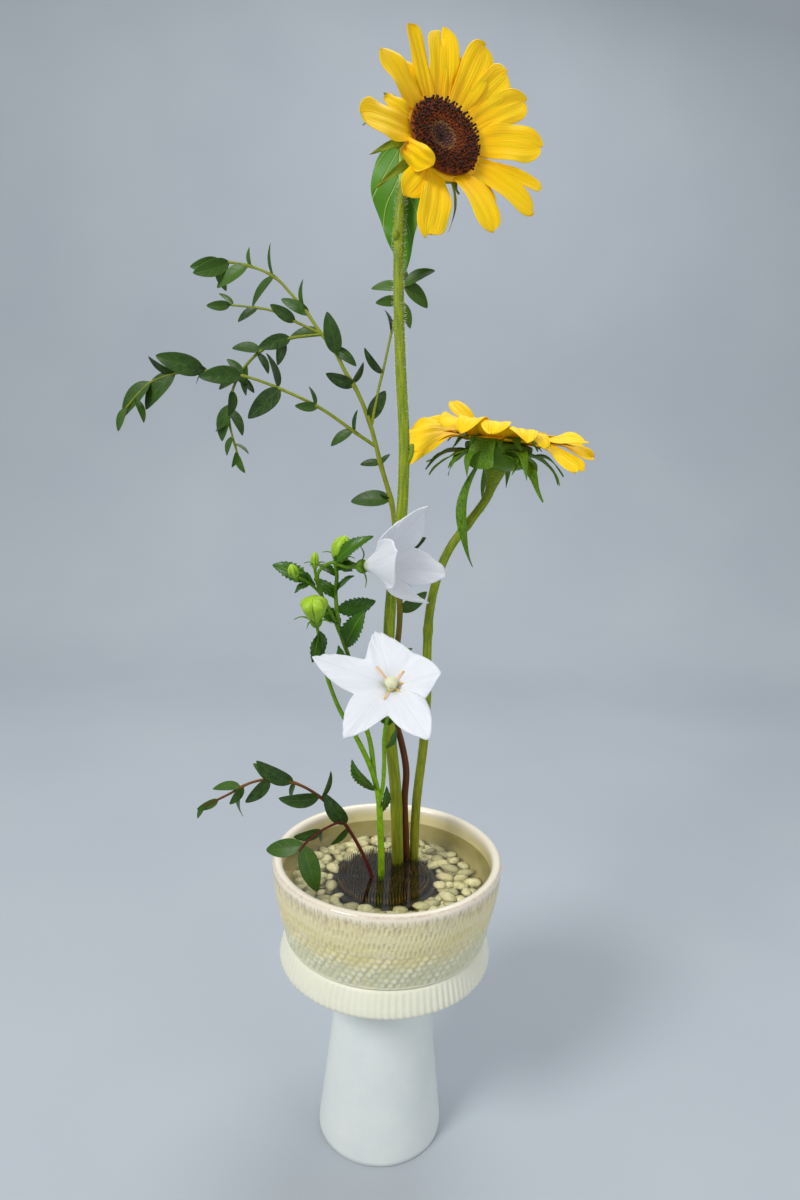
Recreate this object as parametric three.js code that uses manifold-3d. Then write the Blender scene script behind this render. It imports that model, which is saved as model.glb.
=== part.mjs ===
// Ikebana arrangement: two sunflowers, white bellflowers and eucalyptus standing on a pin
// holder under water, in a tall footed bowl. Millimetres, +Z up, the foot's centre at 0, 0, 0.
import * as THREE from "three";
import { mergeVertices } from "three/addons/utils/BufferGeometryUtils.js";
import Module from "manifold-3d";

const wasm = await Module();
wasm.setup();

// ---------- driving dimensions ----------

const GAP = 0.3; // left between pieces that touch
const ROUND = 32; // sides of a turned piece
const CLEAR = 0.6; // left round a stem where it passes through the water

const FOOT_RADIUS = 50.9;
const COLLAR_RADIUS = 84;
const COLLAR_BOTTOM = 158.5;
const COLLAR_TOP = 178;
const RIM_RADIUS = 90;
const RIM_TOP = 242.4;
const FLOOR_TOP = 196;
const WATER_TOP = 228;
const FLUTES = 36;
const NICKS = 24; // in each band of the bowl's pressed pattern

const HOLDER = { x: -2.5, y: 4, radius: 44, height: 8, pinField: 36, pinTop: 220 };
const HOLDER_BOTTOM = FLOOR_TOP + GAP;
const HOLDER_TOP = HOLDER_BOTTOM + HOLDER.height;
const STEM_FOOT = 208; // the cut ends stand here, among the pins

const PEBBLE = { length: 6.6, width: 5.2, height: 4.4, apart: 14.6, seed: 11 };

// Stem routes, from the pin holder up, chosen by hand.
const TALL_ROUTE = [
  [9, 22, 208], [8, 19, 236], [5, 15, 288], [0, 11, 331], [-4, 8, 373], [-4, 6, 413],
  [-3, 5, 445], [0, 4, 475], [3, 5, 512], [3, 7, 562], [-1, 10, 611], [-4, 14, 660],
  [-5, 19, 700], [-4, 23, 730], [0, 22, 744], [7, 15, 750], [12, 8, 752],
];
const LOW_ROUTE = [
  [22.5, 30, 208], [22, 28, 233], [22.5, 26, 275], [26.5, 26, 326], [27.5, 27, 368],
  [26.5, 29, 400], [27.5, 31, 432], [33, 34, 460], [41.5, 37, 481], [53.5, 41, 498],
  [65.5, 45, 514], [72, 47, 526], [73.5, 48, 542],
];
const TALL_RADIUS = [5, 3.9];
const LOW_RADIUS = [3.7, 3.7];

// Heads: where the seed disc's face is, and which way it looks.
const TALL_HEAD = { centre: [23, -10, 757.6], facing: [0.469, -0.832, 0.297], up: [0, 0, 1] };
const LOW_HEAD = { centre: [77, 48, 566], facing: [0.07, 0.03, 1], up: [0, 1, 0] };
const TALL_CUP = [[0, -24], [4.6, -19], [9, -16], [15, -12]]; // outline behind the head
const LOW_CUP = [[0, -29], [4.6, -25], [19, -23], [22, -20], [23.5, -13]];
const DISC_RADIUS = 26;
const WHORL_SHIFT = [-5, -2]; // the florets' whorl sits off the disc's middle

// Petals: clock angle round the head in degrees, reach from the centre, width, and how far
// the tip rises in front of the head's plane.
const TALL_PETALS = [
  [135, 63, 19, 8], [107, 71, 14, 8], [86, 73, 24, 8], [61, 79, 23, 9], [45, 78, 21, 8],
  [29, 78, 22, 8], [3, 75, 28, 9], [-20, 76, 11, 8], [-35, 76, 19, 8], [-69, 69, 23, 9],
  [-110, 79, 24, 8], [-128, 60, 20, 4], [-176, 66, 25, 9], [158, 46, 15, 2],
  [-52, 52, 17, 3], [74, 66, 17, 2],
];
const FOLDED_PETAL = { from: -163, to: -126, radius: 33, width: 17, rise: 9 };
// Here also how far it bows up on the way, and its twist from root to tip.
const LOW_PETALS = [
  [8, 72, 20, -2, 6, 20], [26, 70, 20, 0, 8, 0], [46, 67, 20, 2, 9, 0],
  [66, 68, 19, 2, 10, 0], [88, 66, 20, 2, 10, 0], [108, 64, 19, 4, 10, 0],
  [128, 60, 13, 29, 4, -60], [143, 66, 19, 4, 9, -30], [158, 66, 20, 9, 4, -60],
  [174, 70, 20, 2, 6, -50], [187, 74, 23, -9, 6, -60], [197, 72, 16, -24, 9, -40],
  [211, 57, 24, 6, 8, -30], [233, 56, 22, 2, 12, -10], [256, 52, 24, 3, 11, 0],
  [283, 56, 24, -3, 9, 0], [301, 55, 20, -3, 7, 0], [320, 69, 12, -19, 5, 20],
  [334, 69, 13, -16, 4, 35], [345, 66, 19, 5, 3, 45], [354, 74, 18, -4, 4, 40],
];
const TALL_ARCH = 2.2;

// Bracts behind each head: clock angle, length, and how far the tip hangs back.
const TALL_BRACTS = [
  [140, 26, 4], [168, 32, 8], [192, 28, 11], [214, 34, 18], [240, 24, 8], [262, 27, 12],
  [290, 24, 8], [325, 24, 9], [0, 24, 6], [40, 23, 6], [85, 24, 5],
];
const LOW_BRACTS = [
  [10, 34, 12, 12], [40, 30, 18, 12], [70, 32, 20, 12], [97, 28, 44, 9], [130, 32, 16, 12],
  [158, 35, 16, 12], [186, 34, 13, 12], [201, 34, 25, 12], [218, 30, 15, 12],
  [237, 26, 18, 14], [276, 24, 12, 14], [290, 32, 12, 13], [303, 36, 34, 16],
  [324, 33, 20, 13], [343, 33, 9, 13],
];

// Leaves on a twig: how far along it they sit, the way they point as a clock angle seen
// from the front, their length, and their turn about the midrib from facing the front.
const BRANCH = {
  route: [
    [15.4, 28.4, 208], [15.2, 24.8, 231], [12.5, 22, 276], [13, 20, 303], [8, 20, 328],
    [3.5, 20, 343], [1, 21, 369], [2.5, 23, 401], [4, 24, 425], [2.5, 26, 456],
    [-1, 28, 487], [-4.5, 30, 513], [-14, 34, 543], [-23, 39, 573], [-34, 44, 598],
    [-44, 48, 613], [-52, 53.3, 628], [-65, 60, 643], [-76, 67, 658], [-89, 74, 672],
    [-101.4, 80.8, 684.2], [-123, 90, 694], [-149, 98, 699],
  ],
  radius: [3.2, 0.9],
  leaves: [
    [0.47, 40, 22, 30], [0.41, 35, 26, 20], [0.42, 110, 24, 40], [0.55, -175, 32, 15],
    [0.55, 155, 10, 60], [0.6, -175, 16, 20], [0.6, 45, 10, 20], [0.66, 60, 26, 20],
    [0.71, 160, 23, 25], [0.715, 60, 18, 65], [0.77, -35, 23, 20], [0.79, 0, 13, 20],
    [0.76, 105, 31, 15], [0.8, -170, 25, 20], [0.84, 95, 22, 65], [0.83, 150, 26, 20],
    [0.91, 95, 24, 70], [0.91, -130, 30, 40], [0.95, 95, 14, 50], [0.955, -150, 32, 15],
    [1, -165, 24, 20], [1, -80, 23, 25], [0.985, 200, 30, 30],
  ],
};
const TWIGS = [
  {
    route: [
      [-17, 36, 556], [-33, 35, 566], [-61, 36, 584], [-91, 40, 597], [-119, 46, 606],
      [-152, 54, 610], [-175, 60, 608], [-198, 65, 600], [-218, 67, 580],
    ],
    radius: [1.4, 0.8],
    leaves: [
      [0.09, 85, 17, 60], [0.1, -145, 21, 20], [0.24, 180, 17, 15], [0.25, 110, 15, 60],
      [0.38, -135, 33, 20], [0.39, 110, 28, 65], [0.52, -175, 32, 15], [0.52, 135, 18, 25],
      [0.65, 175, 19, 25], [0.66, -125, 13, 60], [0.66, 165, 37, 15], [0.77, -135, 40, 15],
      [0.77, 150, 23, 65], [0.87, -135, 39, 20], [0.95, -65, 21, 60], [1, -115, 20, 20],
    ],
  },
  {
    route: [[-62, 58, 640], [-78, 63, 647], [-103, 70, 658], [-121, 76, 661], [-138, 82, 663]],
    radius: [1.2, 0.8],
    leaves: [[0.3, 150, 22, 25], [0.7, -150, 20, 20], [1, -175, 18, 20], [0.97, 140, 15, 40]],
  },
  {
    route: [
      [-62, 58, 640], [-92, 58, 635], [-114, 60, 623], [-131, 64, 601], [-136, 66, 575],
      [-130, 68, 547],
    ],
    radius: [1.3, 0.8],
    leaves: [
      [0.18, -160, 26, 15], [0.36, 175, 24, 20], [0.38, -60, 18, 40], [0.55, -150, 20, 20],
      [0.56, -40, 18, 30], [0.72, -105, 30, 20], [0.74, -60, 24, 45], [0.9, -110, 16, 30],
      [0.22, -100, 20, 35], [0.47, -95, 24, 40], [0.64, -95, 20, 45], [0.82, -150, 14, 40],
      [0.94, -30, 14, 60], [1, -70, 16, 30], [0.985, -105, 13, 50],
    ],
  },
  {
    route: [[-22, 38.5, 572], [-18, 42, 597], [-14, 47, 616], [-8, 56, 648], [0, 61, 681]],
    radius: [1.2, 0.8],
    leaves: [
      [0.36, 130, 23, 65], [0.64, 105, 19, 60], [0.97, 25, 26, 20], [1, -45, 26, 20],
      [0.86, -65, 22, 20], [0.95, 180, 25, 20], [0.87, 190, 19, 25], [1, 100, 12, 40],
    ],
  },
];
const SPRIG = {
  route: [
    [-9.8, -9, 208], [-10.5, -11, 222], [-13.5, -14, 235], [-23.5, -20, 260], [-35.5, -24, 281],
    [-50, -28, 299], [-66, -32, 311], [-83.5, -36, 317], [-101, -40, 315], [-115, -44, 308],
    [-131.5, -50, 301],
  ],
  radius: [1.6, 0.8],
  leaves: [
    [0.66, 145, 32, 20], [0.76, 135, 15, 40], [0.54, 180, 30, 25], [0.53, 70, 21, 65],
    [0.38, 120, 32, 15], [0.65, -105, 15, 50], [0.75, -135, 24, 25], [0.86, -170, 22, 55],
    [0.85, -125, 16, 25], [0.86, -90, 26, 60], [0.95, -155, 16, 25], [1, -120, 13, 40],
    [0.36, -135, 18, 45],
  ],
};
const SPRIG_SIDE = {
  route: [[-34.5, -23.7, 279.5], [-49, -33, 276], [-61.5, -42, 268.5], [-65, -46, 265]],
  radius: [1, 0.8],
  leaves: [[0.44, -170, 21, 20], [0.85, -165, 31, 20], [0.86, -70, 35, 15], [0.42, -95, 13, 60]],
};
const EUCALYPTUS_WIDTH = 0.46; // of a leaf's length
const SUNK = 0.8; // how deep a leaf's root goes past its twig's middle

const BELL_STEMS = [
  // the trunk, and the branch that ends in the low bud
  { radius: [2.9, 1.1], route: [
    [-4, -1, 208], [-5, -1, 244], [-6.5, -4, 271], [-8.5, -8, 294], [-13, -11, 313],
    [-24.5, -17, 341], [-39.5, -24, 370], [-51, -30, 407], [-53, -32, 421], [-55, -34, 436],
  ] },
  // the leafy stem
  { radius: [1.9, 1.4], route: [
    [-11, -10, 305], [-16, -10, 339], [-26.5, -10, 370], [-32, -12, 401], [-39.5, -14, 423],
    [-42, -16, 440], [-43, -18, 455], [-42, -20, 466], [-44, -22, 477],
  ] },
  // the side branch with the small buds, and its two stalks
  { radius: [1.3, 1], route: [
    [-37.5, -13.5, 417], [-47, -18, 440], [-55, -24, 455], [-63.5, -30, 463], [-70, -34, 466],
  ] },
  { radius: [1, 0.9], route: [[-53, -22.5, 452], [-56, -27, 463], [-57, -28, 472]] },
  // the stalk of the upper bloom
  { radius: [1.2, 1.3], route: [
    [-52, -21.7, 450], [-55, -28, 468], [-50, -30, 474], [-44, -31, 477], [-36, -31, 474],
    [-27, -28, 473.6],
  ] },
  // the stalk of the lower bloom
  { radius: [1.6, 1.6], route: [
    [-7.5, -6, 284], [-5, -10, 303], [-4.5, -15, 323], [-5, -22, 344], [-3.5, -28, 360],
    [0.6, -33, 377.5], [0.2, -41, 386.7],
  ] },
];
// Bellflower leaves: root, the clock angle they point at seen from the front, length, turn.
const BELL_LEAVES = [
  [[-44, -22, 476], 45, 36, 25], [[-42, -16, 440], 15, 27, 20], [[-36, -13, 412], 62, 30, 15],
  [[-43, -17.5, 449], 140, 21, 30], [[-43, -18, 452], 35, 17, 60], [[-62, -29, 462], 155, 28, 25],
  [[-53.5, -32.5, 425], -95, 19, 20], [[-52, -31, 414], -70, 14, 45],
  [[-9.5, -8.5, 298], 128, 34, 55], [[-5, -18, 335], 60, 20, 60], [[-30, -11.5, 392], 118, 24, 30],
  [[-7, -5, 277], 75, 22, 50],
  [[-3.5, -27, 358], 55, 16, 25], [[-3.5, -27, 358], 128, 16, 25],
];
const BELL_BUDS = [
  { root: [-55, -34.5, 434], towards: [-0.1, -0.3, 1], radius: 9.6, length: 21, open: true },
  { root: [-41, -23, 476], towards: [0.25, -0.1, 1], radius: 7.2, length: 20 },
  { root: [-69.8, -34.3, 465.6], towards: [-0.3, -0.3, 1], radius: 3.6, length: 11 },
  { root: [-57, -28, 471], towards: [0, -0.1, 1], radius: 2.8, length: 13 },
];

// Blooms: the centre of the star's plane, the way it looks, how its bell opens, where the
// pistil's ball sits, and each lobe's clock angle, reach and rise of its tip.
const LOWER_BLOOM = {
  centre: [-1.2, -52, 398.5], facing: [-0.08, -0.68, 0.73], up: [0, 0, 1], flare: 0.08,
  depth: 13, ball: -2,
  lobes: [[18, 34, 5], [108, 43, -5], [170, 56, 3], [241, 52, -1], [304, 53, 1]],
};
const UPPER_BLOOM = {
  centre: [-8.5, -39.3, 478.3], facing: [0.83, -0.52, 0.21], up: [0, 0, 1], flare: 0.62,
  depth: 22, ball: 1.5,
  lobes: [[-20, 40, 3], [54, 41, 2], [94, 34, 8], [166, 31, 14], [274, 33, 1]],
};
const SINUS_REACH = 23; // where two lobes meet
const THROAT = 3;

// ---------- solids ----------

function randomFrom(seed) {
  let state = seed;
  return () => {
    state = (state + 0x6d2b79f5) | 0;
    let mixed = Math.imul(state ^ (state >>> 15), 1 | state);
    mixed = (mixed + Math.imul(mixed ^ (mixed >>> 7), 61 | mixed)) ^ mixed;
    return ((mixed ^ (mixed >>> 14)) >>> 0) / 4294967296;
  };
}

function bare(geometry) {
  const plain = geometry.clone();
  plain.deleteAttribute("normal");
  plain.deleteAttribute("uv");
  return mergeVertices(plain, 1e-4);
}

function solid(geometry) {
  const merged = bare(geometry);
  return new wasm.Manifold(new wasm.Mesh({
    numProp: 3,
    vertProperties: merged.attributes.position.array,
    triVerts: new Uint32Array(merged.index.array),
  }));
}

// The largest body of a solid: loose scraps and sealed hollows are dropped.
function mainBody(joined, tolerance = 0.15) {
  const bodies = joined.simplify(tolerance).decompose();
  return bodies.reduce((best, body) => (body.volume() > best.volume() ? body : best));
}

function geometryOf(joined) {
  const mesh = joined.getMesh();
  const geometry = new THREE.BufferGeometry();
  geometry.setAttribute("position", new THREE.BufferAttribute(mesh.vertProperties, 3));
  geometry.setIndex(new THREE.BufferAttribute(mesh.triVerts, 1));
  return geometry;
}

function fuse(geometries) {
  return geometries.map(solid).reduce((sum, next) => sum.add(next));
}

function turned(profile, sides = ROUND) {
  const points = profile.map(([radius, height]) => new THREE.Vector2(radius, height));
  const lathe = new THREE.LatheGeometry(points, sides);
  return lathe.rotateX(Math.PI / 2);
}

// Moves the outer corners of a turned piece in and out by a rule.
function relieve(lathe, profileLength, changeAt) {
  const place = lathe.attributes.position;
  for (let i = 0; i < place.count; i += 1) {
    const side = Math.floor(i / profileLength);
    const row = i % profileLength;
    const radius = Math.hypot(place.getX(i), place.getY(i));
    const factor = radius > 1 ? (radius + changeAt(side, row)) / radius : 1;
    place.setXY(i, place.getX(i) * factor, place.getY(i) * factor);
  }
  return lathe;
}

function curveThrough(route) {
  return new THREE.CatmullRomCurve3(route.map((point) => new THREE.Vector3(...point)));
}

// A cylinder bent along a route, its radius running from the first value to the second.
function stalk(route, [startRadius, endRadius], sides, steps, grow = 0) {
  const curve = curveThrough(route);
  const frames = curve.computeFrenetFrames(steps);
  const tube = new THREE.CylinderGeometry(1, 1, 1, sides, steps);
  const place = tube.attributes.position;
  for (let i = 0; i < place.count; i += 1) {
    const along = place.getY(i) + 0.5;
    const step = Math.round(along * steps);
    const radius = THREE.MathUtils.lerp(startRadius, endRadius, along) + grow;
    const point = curve.getPointAt(step / steps);
    point.addScaledVector(frames.normals[step], place.getX(i) * radius);
    point.addScaledVector(frames.binormals[step], -place.getZ(i) * radius);
    place.setXYZ(i, point.x, point.y, point.z);
  }
  return tube;
}

// Gives a sheet a front, a back alike and, unless its rim is sharp, an edge between them.
function thicken(sheet, thickness, sharpRim = false) {
  const merged = bare(sheet);
  merged.computeVertexNormals();
  const place = merged.attributes.position;
  const normal = merged.attributes.normal;
  const corners = [];
  for (let i = 0; i < merged.index.count; i += 3) {
    const corner = [0, 1, 2].map((k) => merged.index.getX(i + k));
    if (new Set(corner).size === 3) {
      corners.push(corner);
    }
  }
  const edges = new Set(corners.flatMap(([a, b, c]) => [`${a},${b}`, `${b},${c}`, `${c},${a}`]));
  const rim = [...edges]
    .map((edge) => edge.split(",").map(Number))
    .filter(([a, b]) => !edges.has(`${b},${a}`));
  const onRim = new Set(rim.flat());
  const points = [];
  for (const side of [1, -1]) {
    for (let i = 0; i < place.count; i += 1) {
      const shift = sharpRim && onRim.has(i) ? 0 : (side * thickness) / 2;
      points.push(
        place.getX(i) + normal.getX(i) * shift,
        place.getY(i) + normal.getY(i) * shift,
        place.getZ(i) + normal.getZ(i) * shift,
      );
    }
  }
  const back = place.count;
  const faces = corners.flatMap(([a, b, c]) => [a, b, c, back + a, back + c, back + b]);
  if (!sharpRim) {
    faces.push(...rim.flatMap(([a, b]) => [b, a, back + a, b, back + a, back + b]));
  }
  const body = new THREE.BufferGeometry();
  body.setAttribute("position", new THREE.Float32BufferAttribute(points, 3));
  body.setIndex(faces);
  return body;
}

// Outlines: half width, as a share of the greatest, at a share of the length.
const lance = (t) => Math.max(0.05, Math.sin(Math.PI * t ** 0.85) ** 0.8);
const heart = (t) => Math.max(0.04, Math.sin(Math.PI * t ** 0.55) ** 0.9);
const petalShape = (t) => Math.sin(Math.PI * (0.12 + 0.8 * t)) ** 0.6;
const needle = (t) => Math.max(0.06, (1 - t) ** 0.8);
const toothed = (rows) => (t) => lance(t) * (Math.round(t * rows) % 2 ? 0.84 : 1.08);

// A leaf or petal from root to tip. `face` is the side that its upper surface looks to,
// `arch` bows its midrib that way, `fold` raises its edges, `wave` ripples them and `twist`
// turns the tip about the midrib.
function blade(leaf) {
  const { root, tip, face, width, outline, arch = 0, fold = 0, wave = 0, twist = 0 } = leaf;
  const { thickness = 1, rows = 4, sharp = true, columns = 2 } = leaf;
  const from = new THREE.Vector3(...root);
  const reach = new THREE.Vector3(...tip).sub(from);
  const side = new THREE.Vector3().crossVectors(reach, new THREE.Vector3(...face)).normalize();
  const above = new THREE.Vector3().crossVectors(side, reach).normalize();
  const axis = reach.clone().normalize();
  const sheet = new THREE.PlaneGeometry(2, 1, columns, rows);
  const place = sheet.attributes.position;
  for (let i = 0; i < place.count; i += 1) {
    const across = place.getX(i);
    const along = place.getY(i) + 0.5;
    const half = (width / 2) * outline(along);
    const row = Math.round(along * rows);
    const ripple = wave * across * (row % 2 ? 1 : -1) * Math.sin(Math.PI * along);
    const lift = arch * 4 * along * (1 - along) + fold * Math.abs(across) * half + ripple;
    const offset = side.clone().multiplyScalar(across * half).addScaledVector(above, lift);
    offset.applyAxisAngle(axis, THREE.MathUtils.degToRad(twist * along));
    const point = from.clone().addScaledVector(reach, along).add(offset);
    place.setXYZ(i, point.x, point.y, point.z);
  }
  return thicken(sheet, thickness, sharp);
}

// The frame of a head or bloom: X and Y in its plane, Z the way it looks.
function headFrame({ centre, facing, up }) {
  const out = new THREE.Vector3(...facing).normalize();
  const upward = new THREE.Vector3(...up);
  upward.addScaledVector(out, -upward.dot(out)).normalize();
  const right = new THREE.Vector3().crossVectors(upward, out);
  return new THREE.Matrix4().makeBasis(right, upward, out).setPosition(...centre);
}

function polar(clock, radius, height) {
  const angle = THREE.MathUtils.degToRad(clock);
  return [radius * Math.cos(angle), radius * Math.sin(angle), height];
}

// ---------- the vessel ----------

function bowl() {
  const outer = [
    [0, COLLAR_TOP + GAP], [79.3, COLLAR_TOP + GAP], [81, 184], [84.3, 196.5], [84.9, 199],
    [87.3, 211.5], [87.8, 214], [89.4, 227], [RIM_RADIUS, 237],
    [88.6, RIM_TOP - 0.4], [0, RIM_TOP],
  ];
  // Three bands of upright nicks, each band half a nick round from the one below.
  const [firstRow, lastRow] = [2, 7];
  const nick = (side, row) => {
    const band = Math.floor((row - firstRow) / 2);
    const pressed = row >= firstRow && row <= lastRow;
    return pressed ? 0.5 * ((side + band) % 2 ? 1 : -1) : 0;
  };
  const body = solid(relieve(turned(outer, 2 * NICKS), outer.length, nick));
  const inside = turned([
    [0, FLOOR_TOP], [70, FLOOR_TOP], [78, FLOOR_TOP + 4], [82, FLOOR_TOP + 14],
    [82.8, WATER_TOP], [82, 238], [84.6, RIM_TOP + 0.2], [84.6, 250], [0, 250],
  ]);
  const underside = turned([[0, 170], [63, 170], [62, 186], [0, 186]]);
  return geometryOf(mainBody(body.subtract(solid(inside)).subtract(solid(underside))));
}

function pedestal() {
  const core = turned([
    [0, COLLAR_TOP], [78, COLLAR_TOP], [82.4, COLLAR_BOTTOM + 0.4], [81.6, COLLAR_BOTTOM - 1.4],
    [40, 151], [35, 147], [40, 100], [45.8, 45], [FOOT_RADIUS, 0], [0, 0],
  ].reverse());
  const band = [
    [74, COLLAR_BOTTOM], [COLLAR_RADIUS, COLLAR_BOTTOM], [79.4, COLLAR_TOP - 0.4],
    [74, COLLAR_TOP - 0.4], [74, COLLAR_BOTTOM],
  ];
  const flute = (side, row) => (row === 1 || row === 2 ? 0.6 * (side % 2 ? 1 : -1) : 0);
  const fluted = relieve(turned(band, 2 * FLUTES), band.length, flute);
  return geometryOf(mainBody(solid(core).add(solid(fluted))));
}

// ---------- what holds the stems ----------

function stemsInWater() {
  return [
    [TALL_ROUTE, TALL_RADIUS], [LOW_ROUTE, LOW_RADIUS], [BRANCH.route, BRANCH.radius],
    [SPRIG.route, SPRIG.radius], [BELL_STEMS[0].route, BELL_STEMS[0].radius],
  ];
}

// How far a point of the pin field is from the nearest stem's surface.
function roomAt(x, y) {
  const rooms = stemsInWater().map(([route, [radius]]) => {
    const [[x0, y0, z0], [x1, y1, z1]] = route;
    const share = (HOLDER.pinTop - z0) / (z1 - z0);
    const top = Math.hypot(x - x0 - share * (x1 - x0), y - y0 - share * (y1 - y0));
    return Math.min(Math.hypot(x - x0, y - y0), top) - radius;
  });
  return Math.min(...rooms);
}

function pinHolder() {
  const spacing = 8.5;
  const rings = Math.floor(HOLDER.pinField / spacing);
  const base = new THREE.CylinderGeometry(HOLDER.radius, HOLDER.radius, HOLDER.height, ROUND);
  base.rotateX(Math.PI / 2);
  base.translate(HOLDER.x, HOLDER.y, HOLDER_BOTTOM + HOLDER.height / 2);
  const pieces = [base];
  for (let ring = 0; ring <= rings; ring += 1) {
    const count = Math.max(1, Math.round(2 * Math.PI * ring));
    for (let k = 0; k < count; k += 1) {
      const [x, y] = polar((360 * k) / count + 11 * ring, ring * spacing, 0);
      const free = roomAt(HOLDER.x + x, HOLDER.y + y) > 2;
      const top = free ? HOLDER.pinTop : STEM_FOOT - 1;
      const height = top - HOLDER_TOP + 1;
      const pin = new THREE.ConeGeometry(1.2, height, 3);
      pin.rotateX(Math.PI / 2);
      pin.translate(HOLDER.x + x, HOLDER.y + y, HOLDER_TOP - 1 + height / 2);
      pieces.push(pin);
    }
  }
  return geometryOf(mainBody(fuse(pieces)));
}

function pebbles() {
  const random = randomFrom(PEBBLE.seed);
  const bottom = FLOOR_TOP + GAP;
  const bed = new THREE.CylinderGeometry(76, 69.2, 4.2, 24);
  bed.rotateX(Math.PI / 2).translate(0, 0, bottom + 2.1);
  const well = new THREE.CylinderGeometry(HOLDER.radius + GAP, HOLDER.radius + GAP, 40, ROUND);
  well.rotateX(Math.PI / 2).translate(HOLDER.x, HOLDER.y, FLOOR_TOP + 10);
  const places = [];
  for (let attempt = 0; attempt < 3000; attempt += 1) {
    const [x, y] = polar(360 * random(), 50 + 23 * random(), 0);
    const clear = Math.hypot(x - HOLDER.x, y - HOLDER.y) > HOLDER.radius + PEBBLE.width;
    if (clear && places.every((p) => Math.hypot(x - p[0], y - p[1]) > PEBBLE.apart)) {
      places.push([x, y]);
    }
  }
  const stones = places.map(([x, y]) => {
    const stone = new THREE.IcosahedronGeometry(1, 0);
    const turn = new THREE.Euler(0.4 * random() - 0.2, 0.4 * random() - 0.2, 6.3 * random());
    const size = 0.85 + 0.25 * random();
    stone.rotateZ(random());
    stone.scale(PEBBLE.length * size, PEBBLE.width * size, PEBBLE.height);
    stone.applyMatrix4(new THREE.Matrix4().makeRotationFromEuler(turn));
    const inward = Math.min(1, (79.6 - PEBBLE.length) / Math.hypot(x, y));
    return stone.translate(x * inward, y * inward, bottom + PEBBLE.height + 2.4);
  });
  return geometryOf(mainBody(fuse([bed, ...stones]).subtract(solid(well))));
}

function water() {
  const low = STEM_FOOT + 1.4;
  const pinRoof = HOLDER.pinTop + 0.6;
  const body = solid(turned([
    [0, pinRoof], [HOLDER.pinField + 5, pinRoof], [HOLDER.pinField + 5, low],
    [81, low], [82.3, WATER_TOP], [0, WATER_TOP],
  ]));
  const holes = stemsInWater().map(([route, radius]) => solid(stalk(route, radius, 8, 20, CLEAR)));
  return geometryOf(mainBody(holes.reduce((rest, hole) => rest.subtract(hole), body)));
}

// ---------- sunflowers ----------

function disc(frame, sides, rows) {
  const dome = (share) => 0.8 + 3.8 * Math.sin(Math.PI * Math.min(1, share * 0.9)) ** 0.8;
  const profile = [[0, 0], [DISC_RADIUS, 0]];
  for (let row = rows; row >= 0; row -= 1) {
    const share = row / rows;
    profile.push([DISC_RADIUS * share, row === rows ? 1.4 : dome(share)]);
  }
  const face = turned(profile, sides);
  const place = face.attributes.position;
  for (let i = 0; i < place.count; i += 1) {
    const side = Math.floor(i / profile.length);
    const row = i % profile.length;
    if (row > 2) {
      const inward = (row - 2) / rows;
      const florets = row < profile.length - 1 ? ((side + row) % 2) - 0.5 : 0;
      place.setX(i, place.getX(i) + WHORL_SHIFT[0] * inward);
      place.setY(i, place.getY(i) + WHORL_SHIFT[1] * inward);
      place.setZ(i, place.getZ(i) + 1.4 * florets);
    }
  }
  return face.applyMatrix4(frame);
}

// One petal in the head's own frame: its tip leans forward by `rise`.
function petal([clock, reach, width, rise, arch = TALL_ARCH, twist = 0], layer) {
  const depth = -1.2 - 0.7 * layer;
  return blade({
    root: polar(clock, 27, depth),
    tip: polar(clock, reach, depth + rise),
    face: [0, 0, 1],
    width,
    outline: petalShape,
    arch,
    fold: 0.16,
    wave: 0.5,
    twist,
    thickness: 1.3,
    rows: 4,
  });
}

function petals(frame, list, extra = []) {
  const wall = DISC_RADIUS + GAP;
  const room = turned([[0, -GAP], [wall, -GAP], [wall, 6], [0, 6]], 48);
  const ring = turned([[19, -3], [29.5, -3], [29.5, -GAP], [19, -GAP], [19, -3]], 20);
  const pieces = [ring, ...list.map((entry, k) => petal(entry, k % 3)), ...extra];
  return geometryOf(mainBody(fuse(pieces).subtract(solid(room)))).applyMatrix4(frame);
}

// The petal that curls forward over the edge of the seed disc.
function foldedPetal({ from, to, radius, width, rise }) {
  return blade({
    root: polar(from, radius, -1.5),
    tip: polar(to, radius, rise),
    face: polar((from + to) / 2, 0.7, 1),
    width,
    outline: petalShape,
    arch: 5,
    thickness: 1.3,
  });
}

// The green cup behind the petals: `floor` is its outline from the stem to the side.
function receptacle(frame, floor) {
  return turned([...floor, [26.5, -9], [26, -3.3], [0, -3.3]], 16).applyMatrix4(frame);
}

function bracts(frame, list, root) {
  return list.map(([clock, length, droop, width = 10], k) => blade({
    root: polar(clock, root.radius, root.height + 2 * (k % 2)),
    tip: polar(clock, root.radius + length, root.height - droop + 2 * (k % 2)),
    face: [0, 0, 1],
    width,
    outline: needle,
    arch: 4,
    fold: 0.2,
    thickness: 1.2,
    rows: 3,
  }).applyMatrix4(frame));
}

function tallStem() {
  const frame = headFrame(TALL_HEAD);
  const petiole = stalk([[0, 23, 744], [-4, 30, 756], [-6, 34, 768]], [2, 1.4], 5, 4);
  const leaf = blade({
    root: [-6, 34, 769],
    tip: [-1, 37, 682],
    face: [-0.35, -1, 0],
    width: 42,
    outline: heart,
    arch: 5,
    fold: 0.12,
    wave: 1.4,
    thickness: 1.1,
    rows: 8,
    columns: 4,
    sharp: false,
  });
  const stub = stalk([[0, 4, 455], [6, 3, 461], [9, 3, 467]], [2.4, 2], 6, 2);
  const pieces = [
    stalk(TALL_ROUTE, TALL_RADIUS, 8, 24), stub, petiole, leaf,
    receptacle(frame, TALL_CUP), ...bracts(frame, TALL_BRACTS, { radius: 20, height: -8 }),
  ];
  return geometryOf(mainBody(fuse(pieces)));
}

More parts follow.
